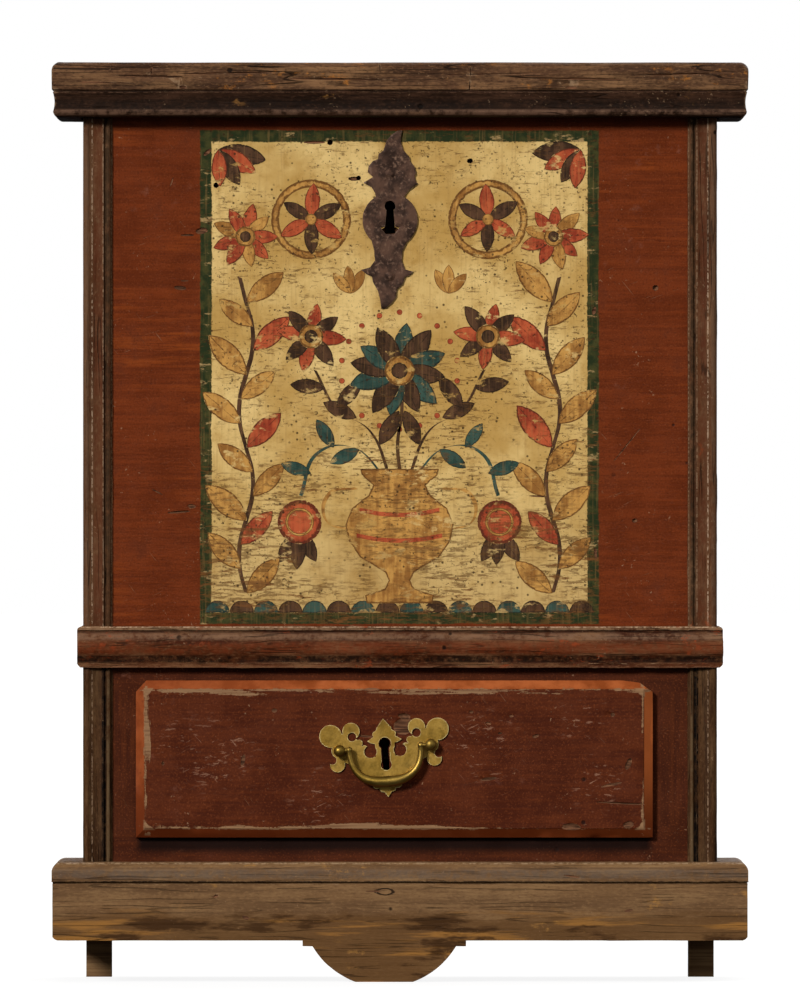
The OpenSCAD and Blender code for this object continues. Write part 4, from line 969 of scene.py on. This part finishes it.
# %% Painted panel: paints
def panel_paint(name, wash, body, outline, worn_away=0.56):
    f = Finish(name, specular=0.1)
    ground = cream_layers(f)
    inside = f.add("ShaderNodeAttribute", attribute_name="inside").outputs["Fac"]
    ragged = f.plus(inside, f.swing(f.noise(330, detail=5, shift=61.0), 1.5))
    blot = f.noise(70, detail=6, roughness=0.68, shift=62.0)
    brush = f.grain("z", 30, 330, detail=4, shift=64.0)
    f.colour = f.mix(f.band(f.blend(blot, 0.65, brush, 0.35), 0.4, 0.6), wash, body)
    f.coat(f.band(ragged, 0.7, 0.4, 0.9), outline)
    away = f.band(f.noise((70, 70, 130), detail=6, roughness=0.68, shift=63.0), worn_away, worn_away + 0.08, 0.8)
    f.coat(away, ground)
    f.colour = f.mix(f.band(ragged, -0.12, 0.02), ground, f.colour)
    dashes = panel_age(f, 0.85)
    return f.done(f.colour, normal=f.relief(dashes, 0.1 * MM))


ochre = panel_paint("ochre_paint", "#c08d46", "#8a5a26", "#5f3a15")
vermilion = panel_paint("vermilion_paint", "#b4532f", "#86301a", "#512010")
umber = panel_paint("umber_paint", "#543824", "#2f1d0f", "#1f1308", 0.58)
verdigris = panel_paint("verdigris_paint", "#375045", "#223830", "#19231d")
print("four panel paints")

# %% Painted panel: laying out the design
LAYER, PAINT_DEPTH = 0.06 * MM, 0.8 * MM
strokes = []
hand = random.Random(11)


def place(name, x, z, size, turn, paint, layer):
    """Copies a shape to x, z in mm on the panel, turned clockwise in degrees; no two leaves are quite alike."""
    if name == "leaf":
        size, turn = size * hand.uniform(0.93, 1.08), turn + hand.uniform(-6, 6)
    stroke = bpy.data.objects.new("stroke", shapes[name].data.copy())
    bpy.context.scene.collection.objects.link(stroke)
    spot = Vector((PANEL_X + x * MM, front_y - layer * LAYER, z * MM))
    stroke.data.transform(Matrix.LocRotScale(spot, Euler((0, math.radians(turn), 0)), Vector((size * MM,) * 3)))
    stroke.data.materials.append(paint)
    strokes.append(stroke)


def stem(points, nib, paint, layer=1, side=1):
    """A brush stroke along points in mm, mirrored for side -1; nib is the brush's width and slant."""
    deselect()
    bpy.ops.curve.primitive_bezier_curve_add()
    spline = bpy.context.object.data.splines[0]
    spline.bezier_points.add(len(points) - 2)
    for point, (x, z) in zip(spline.bezier_points, points):
        point.co = (PANEL_X + side * x * MM, front_y - layer * LAYER, z * MM)
        point.handle_left_type = point.handle_right_type = "AUTO"
    bpy.ops.object.convert(target="MESH")
    stroke = bpy.context.object
    open_mesh(stroke)
    bpy.ops.mesh.extrude_region_move(TRANSFORM_OT_translate={"value": (side * nib[0] * MM, 0, nib[1] * MM)})
    close_mesh()
    with_rim("stroke", 0)
    stroke.data.materials.append(paint)
    strokes.append(stroke)


def flower(x, z, petals, length, paints, centre, layer=4):
    for i in range(petals):
        place("leaf", x, z, length, 360 * i / petals + 8, paints[i % len(paints)], layer + 0.4 * i)
    place("disc", x, z, centre, 0, ochre, layer + 0.4 * petals + 1)
    place("disc", x, z, centre * 0.55, 0, umber, layer + 0.4 * petals + 2)


stem([(0, 350), (-2.5, 376), (0.5, 400), (-0.5, 424)], (2.4, 0.8), umber)
flower(0, 428, 12, 34, (verdigris, umber), 10.5)
for i in range(18):
    place("disc", 41 * math.sin(i * math.pi / 9), 428 + 41 * math.cos(i * math.pi / 9), 2, 0, vermilion, 1)
place("urn", 0, 265, 1.15, 0, ochre, 3)
for row, half in ((46, 30), (64, 28)):
    sag = [(-half, 265 + row), (-half * 0.4, 262 + row), (half * 0.4, 262 + row), (half, 265 + row)]
    stem(sag, (0, 3), vermilion, 4)
for i in range(16):
    place("scallop", -127.5 + 17 * i, 258.4, 8.6, 0, umber if i % 2 else verdigris, 1 + 0.5 * (i % 2))
for side in (1, -1):
    vine = [(106 + 5 * math.sin(i * 1.05), 272 + 17 * i) for i in range(14)]
    stem(vine, (3, 1), umber, 1, side)
    for i, (x, z) in enumerate(vine[:-1]):
        place("leaf", side * (x + 1), z, 36 - i % 3 * 2, side * (46 if i % 2 else -46),
              vermilion if i % 4 == 2 else ochre, 1.6 + 0.5 * (i % 4))
    flower(side * 108, 522, 9, 23, (vermilion, ochre, vermilion), 7)
    place("ring", side * 62, 534, 28, 0, ochre, 1)
    for i in range(6):
        place("leaf", side * 62, 534, 24, 60 * i, umber if i % 2 else vermilion, 2 + 0.5 * i)
    place("disc", side * 62, 534, 4, 0, ochre, 6)
    for i in range(4):
        place("leaf", side * 127, 583, 32 - 2 * i, -side * (98 + 25 * i), vermilion if i % 2 else umber, 2 + i)
    stem([(5, 352), (20, 386), (42, 400), (58, 428)], (2.4, 0.8), umber, 1.4, side)
    flower(side * 62, 452, 8, 25, (vermilion, umber), 8.5)
    for i, (x, z, turn) in enumerate(((14, 376, -28), (30, 395, 70), (44, 402, -40), (52, 416, 84))):
        place("leaf", side * x, z, 26, side * turn, umber, 2.3 + 0.5 * i)
    stem([(8, 352), (32, 374), (56, 370), (68, 340)], (2.4, 0.8), verdigris, 1.8, side)
    for i, (x, z, turn) in enumerate(((28, 373, 120), (46, 374, 30), (62, 356, 70))):
        place("leaf", side * x, z, 22, side * turn, verdigris, 2.5 + 0.5 * i)
    for turn, layer in ((152, 1), (180, 2.2), (208, 1.5)):
        place("leaf", side * 70, 316, 26, turn, umber, layer)
    place("disc", side * 70, 322, 15.5, 0, vermilion, 3)
    place("ring", side * 70, 322, 10, 0, ochre, 4)
    stem([(34, 316), (50, 322), (48, 341), (29, 345)], (2.4, 1.4), ochre, 2, side)
    for i, turn in enumerate((-32, 4, 40)):
        place("leaf", side * 34, 482, 20, side * turn, ochre, 2 + 0.5 * i)
print("strokes:", len(strokes))

# %% Painted panel: joining the design
deselect()
for stroke in strokes:
    stroke.select_set(True)
bpy.context.view_layer.objects.active = strokes[0]
bpy.ops.object.join()
design = bpy.context.object
design.name = "panel_flowers"
open_mesh(design)
bpy.ops.mesh.select_mode(type="FACE")
bpy.ops.mesh.select_all(action="DESELECT")
close_mesh()
for polygon in design.data.polygons:
    polygon.select = polygon.normal.y > 0
bpy.ops.object.mode_set(mode="EDIT")
bpy.ops.mesh.flip_normals()
bpy.ops.mesh.select_mode(type="VERT")
close_mesh()
modify(design, "SOLIDIFY", thickness=PAINT_DEPTH, offset=-1)
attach(design, "case")
for shape in shapes.values():
    bpy.data.objects.remove(shape)
print("panel_flowers:", len(design.data.polygons), "faces")

# %% [markdown]
# ## Drawer front
# The drawer front is lipped, with a bevel all round that is rubbed to orange, and its arris is worn to the wood in
# patches. Its upper corners have been knocked off. The corners are cut with bisect planes, chips are cut from the
# face, and the finish reads how far each point is from the edge of the flat field.

# %% Drawer front
BEVEL = 6.5 * MM


def near(f, x, z, reach):
    """1 about a spot of the front, x and z in mm, and 0 from reach mm outwards."""
    return f.band(f.away(x, z), reach, reach * 0.3)


def drawer_paint():
    f = Finish("drawer_paint", specular=0.06)
    paint, height, shine = red_layers(f, "x", "#431a0a", "#56250e", "#6c3213", scored=0.3)
    wood, fibre = bare_layers(f, "x")
    across = f.plus(f.apart(f.x, drawer_mid.x), BEVEL - drawer_half.x)
    up = f.plus(f.apart(f.z, drawer_mid.z), BEVEL - drawer_half.z)
    reach = f.most(across, up)
    rubbed = f.noise(60, detail=6, roughness=0.62, shift=52.0)
    orange = f.mix(f.band(rubbed, 0.36, 0.64), "#85401b", "#a5572c")
    orange = f.mix(f.band(f.x, drawer_mid.x, drawer_low.x, 0.45), orange, "#6f2f17")
    # painted light: the bevel at the right end is made a brighter orange
    orange = f.mix(f.band(f.x, drawer_high.x - 9 * MM, drawer_high.x - 5 * MM, 0.75), orange, "#ab5a2c")
    # painted shade: the lower bevel, which faces down, is made a dark red
    orange = f.mix(f.band(f.z, drawer_mid.z, drawer_low.z + BEVEL, 0.85), orange, "#5a240c")
    f.colour = f.mix(f.band(reach, 0.1 * MM, 0.9 * MM), paint, orange)

    def bared(distance, scale, least):
        """Bare wood along one pair of edges, as wide as a noise drawn out along them says."""
        width = f.swing(f.noise(scale, detail=6, roughness=0.7, shift=53.0), 26 * MM, least)
        off = f.plus(f.math("ABSOLUTE", f.plus(distance, f.times(width, 0.35))), f.times(width, -0.6))
        ragged = f.swing(f.noise(210, detail=7, roughness=0.8, shift=57.0), 7 * MM)
        return f.band(f.plus(off, ragged), 0.3 * MM, -0.3 * MM)

    bare_here = f.most(bared(up, (14, 14, 170), 0.465), bared(across, (170, 170, 16), 0.465))
    crumbled = f.times(f.noise(160, detail=7, roughness=0.75, shift=54.0), 11 * MM)
    knocked = f.band(f.plus(f.plus(across, up), crumbled), 0, 1 * MM)
    knocked = f.times(knocked, f.band(reach, 1.6 * MM, 0.6 * MM))
    bare_here = f.times(f.most(bare_here, knocked), f.band(reach, 5.5 * MM, 4.5 * MM))
    f.coat(f.times(bare_here, 0.88), f.mix(f.band(fibre, 0.4, 0.7), "#93704f", "#684731"))
    scored = f.most(scratches(f, 0.85, 55.0, (0.4, 0.5)), scratches(f, -0.45, 56.0, (0.44, 0.54)))
    here = near(f, -126, 160, 38)
    for spot in ((-155, 168, 22), (-55, 128, 30), (130, 182, 26), (140, 140, 28), (60, 165, 34)):
        here = f.most(here, near(f, *spot))
    f.coat(f.times(f.times(scored, here), 0.8), "#9a7159")
    speck = f.times(f.band(f.grain("x", 120, 430, detail=4, roughness=0.65, shift=58.0), 0.6, 0.67), here)
    f.coat(f.times(speck, 0.5), "#9a7159")
    height = f.plus(height, f.times(bare_here, -0.3))
    return f.done(f.mix(painted(f, f.y, front_y, -1), wood, f.colour), shine, f.relief(height, PAINT_RELIEF))


drawer_chips = [(3, 186, 9, 4, 2.2, 8), (3, 179, 16, 12, 0.8, -10), (-24, 172, 10, 2, 1, 5),
                (-166, 153, 2, 3, 1.2, 0), (50, 189, 3, 2, 0.8, 0), (62, 181, 4, 2, 0.9, 20),
                (78, 186, 3, 2, 0.8, 0), (95, 172, 5, 2.6, 1, -15), (70, 174, 3, 1.6, 0.7, 0),
                (160, 152.6, 4, 9, 1.2, 20), (156, 125, 40, 1.4, 1.4, 3), (149, 187, 3, 3, 0.8, 0),
                (-88, 190, 4, 3, 0.6, 0), (-110, 155, 3, 9, 0.6, 10), (120, 108, 14, 6, 1.6, 4),
                (-20, 205, 12, 3, 1.5, 0), (160, 110, 8, 5, 1.5, -10), (-168, 104, 10, 5, 1.6, 10),
                (148, 138, 16, 2, 0.6, -12), (62, 142, 12, 2.4, 0.6, -8)]
corner_planes = [((177 * MM, 0, 203 * MM), (0.57, 0, 0.82)), ((168 * MM, 0, 209.4 * MM), (0.13, 0, 0.99)),
                 ((-185 * MM, 0, 203 * MM), (-0.74, 0, 0.67))]


def knock_corners(front):
    for point, normal in corner_planes:
        slice_off(front, point, normal, clear_outer=True)


aged("drawer_front", drawer_paint(), round_off=0.9, cuts="xz", rub=0.2, chips=drawer_chips, remake=knock_corners)
print("drawer front with", len(drawer_chips), "chips")

# %% [markdown]
# ## Key plate and pull
# The key plate was cut from sheet iron with a chisel and hammered flat, so its face is dished all over. The pull is
# cast brass, filed to a bevel on its rim, and the bevel catches the light.

# %% Key plate and pull
aged("key_plate", iron, round_off=0.5, cuts="xz", spacing=2.5, rub=0.3, hammer=0.45)
aged("pull_plate", brass, round_off=0.55, cuts="xz", spacing=1.6, segments=1, smooth=20)
for node in ("pull_posts", "pull_bail"):
    aged(node, bail_brass, full=260)
print("key plate and pull")

# %% [markdown]
# ## Boards, frame and metal that keep their CAD shape
# Boards inside and behind are right as they are, so they keep their CAD meshes and only get a finish.

# %% Boards, frame and metal
plain = {
    red_rail["upper"]: ["rail_upper"], red_rail["lower"]: ["rail_lower"],
    red_stile: ["stile_left", "stile_right"],
    red_left: ["side_left"], red_right: ["side_right"],
    bare["x"]: ["back_board_upper", "back_board_lower", "chest_floor", "case_bottom", "drawer_back",
                "drawer_bottom", "rear_foot_left", "rear_foot_right"],
    bare["y"]: ["drawer_guide_left", "drawer_guide_right", "drawer_kicker_left", "drawer_kicker_right",
                "drawer_side_left", "drawer_side_right"],
    iron: ["key_plate_nails", "lock_plate", "lock_case", "lock_spring", "lock_nails", "lock_bolt",
           "hinge_leaf_left", "hinge_leaf_right", "hinge_pins", "hinge_leaf_nails", "back_nails",
           "hinge_strap_left", "hinge_strap_right", "lid_nails", "lid_staple", "drawer_lock_case",
           "drawer_lock_bolt"],
    brass: ["pull_nuts"],
}
for finish, names in plain.items():
    for name in names:
        frame["nodes"][name].data.materials.clear()
        frame["nodes"][name].data.materials.append(finish)
print("plain nodes:", sum(len(names) for names in plain.values()))

# %% [markdown]
# ## Floor and light
# The photograph has a white ground and soft light from the upper left. A wide pale floor and three soft suns, one
# of them for the back, give that from every side, because a sun doesn't fade with distance. The sky is bright above
# and dim below the horizon, so the hollows under the mouldings stay dark.

# %% Floor and light
def pale_floor():
    f = Finish("pale_floor", roughness=0.9, specular=0.1)
    cloud = f.noise(3, detail=2)
    f.fill(f.shader, {"Emission Color": "#ffffff", "Emission Strength": 0.88})
    return f.done(f.mix(cloud, "#6c6b6a", "#737372"))


FLOOR_SIZE = 160
deselect()
bpy.ops.mesh.primitive_plane_add(size=FLOOR_SIZE)
floor = bpy.context.object
floor.name = "studio_floor"
floor.data.materials.append(pale_floor())
floor.visible_diffuse = floor.visible_glossy = False


def sun(name, azimuth, elevation, strength, spread):
    bpy.ops.object.light_add(type="SUN", rotation=(math.radians(90 - elevation), 0, math.radians(azimuth)))
    light = bpy.context.object
    light.name = name
    light.data.energy = strength
    light.data.angle = math.radians(spread)


sun("key_light", azimuth=-30, elevation=22, strength=2.95, spread=12)
sun("fill_light", azimuth=50, elevation=30, strength=0.45, spread=60)
sun("back_light", azimuth=160, elevation=38, strength=1.8, spread=50)

world = bpy.data.worlds.new("studio")
bpy.context.scene.world = world
world.use_nodes = True
sky = Nodes(world.node_tree)
up = sky.add("ShaderNodeSeparateXYZ", {0: sky.add("ShaderNodeTexCoord").outputs["Generated"]}).outputs["Z"]
steps = {"From Min": -0.1, "From Max": 0.15, "To Min": 0.05, "To Max": 0.3}
dim = sky.add("ShaderNodeMapRange", {"Value": up, **steps})
seen = sky.add("ShaderNodeLightPath").outputs["Is Camera Ray"]
sky.fill(sky.nodes["Background"], {"Color": (1, 1, 1, 1), "Strength": sky.most(dim.outputs[0], seen)})
bpy.context.scene.view_settings.view_transform = "Standard"
print("floor, three suns and a soft sky")
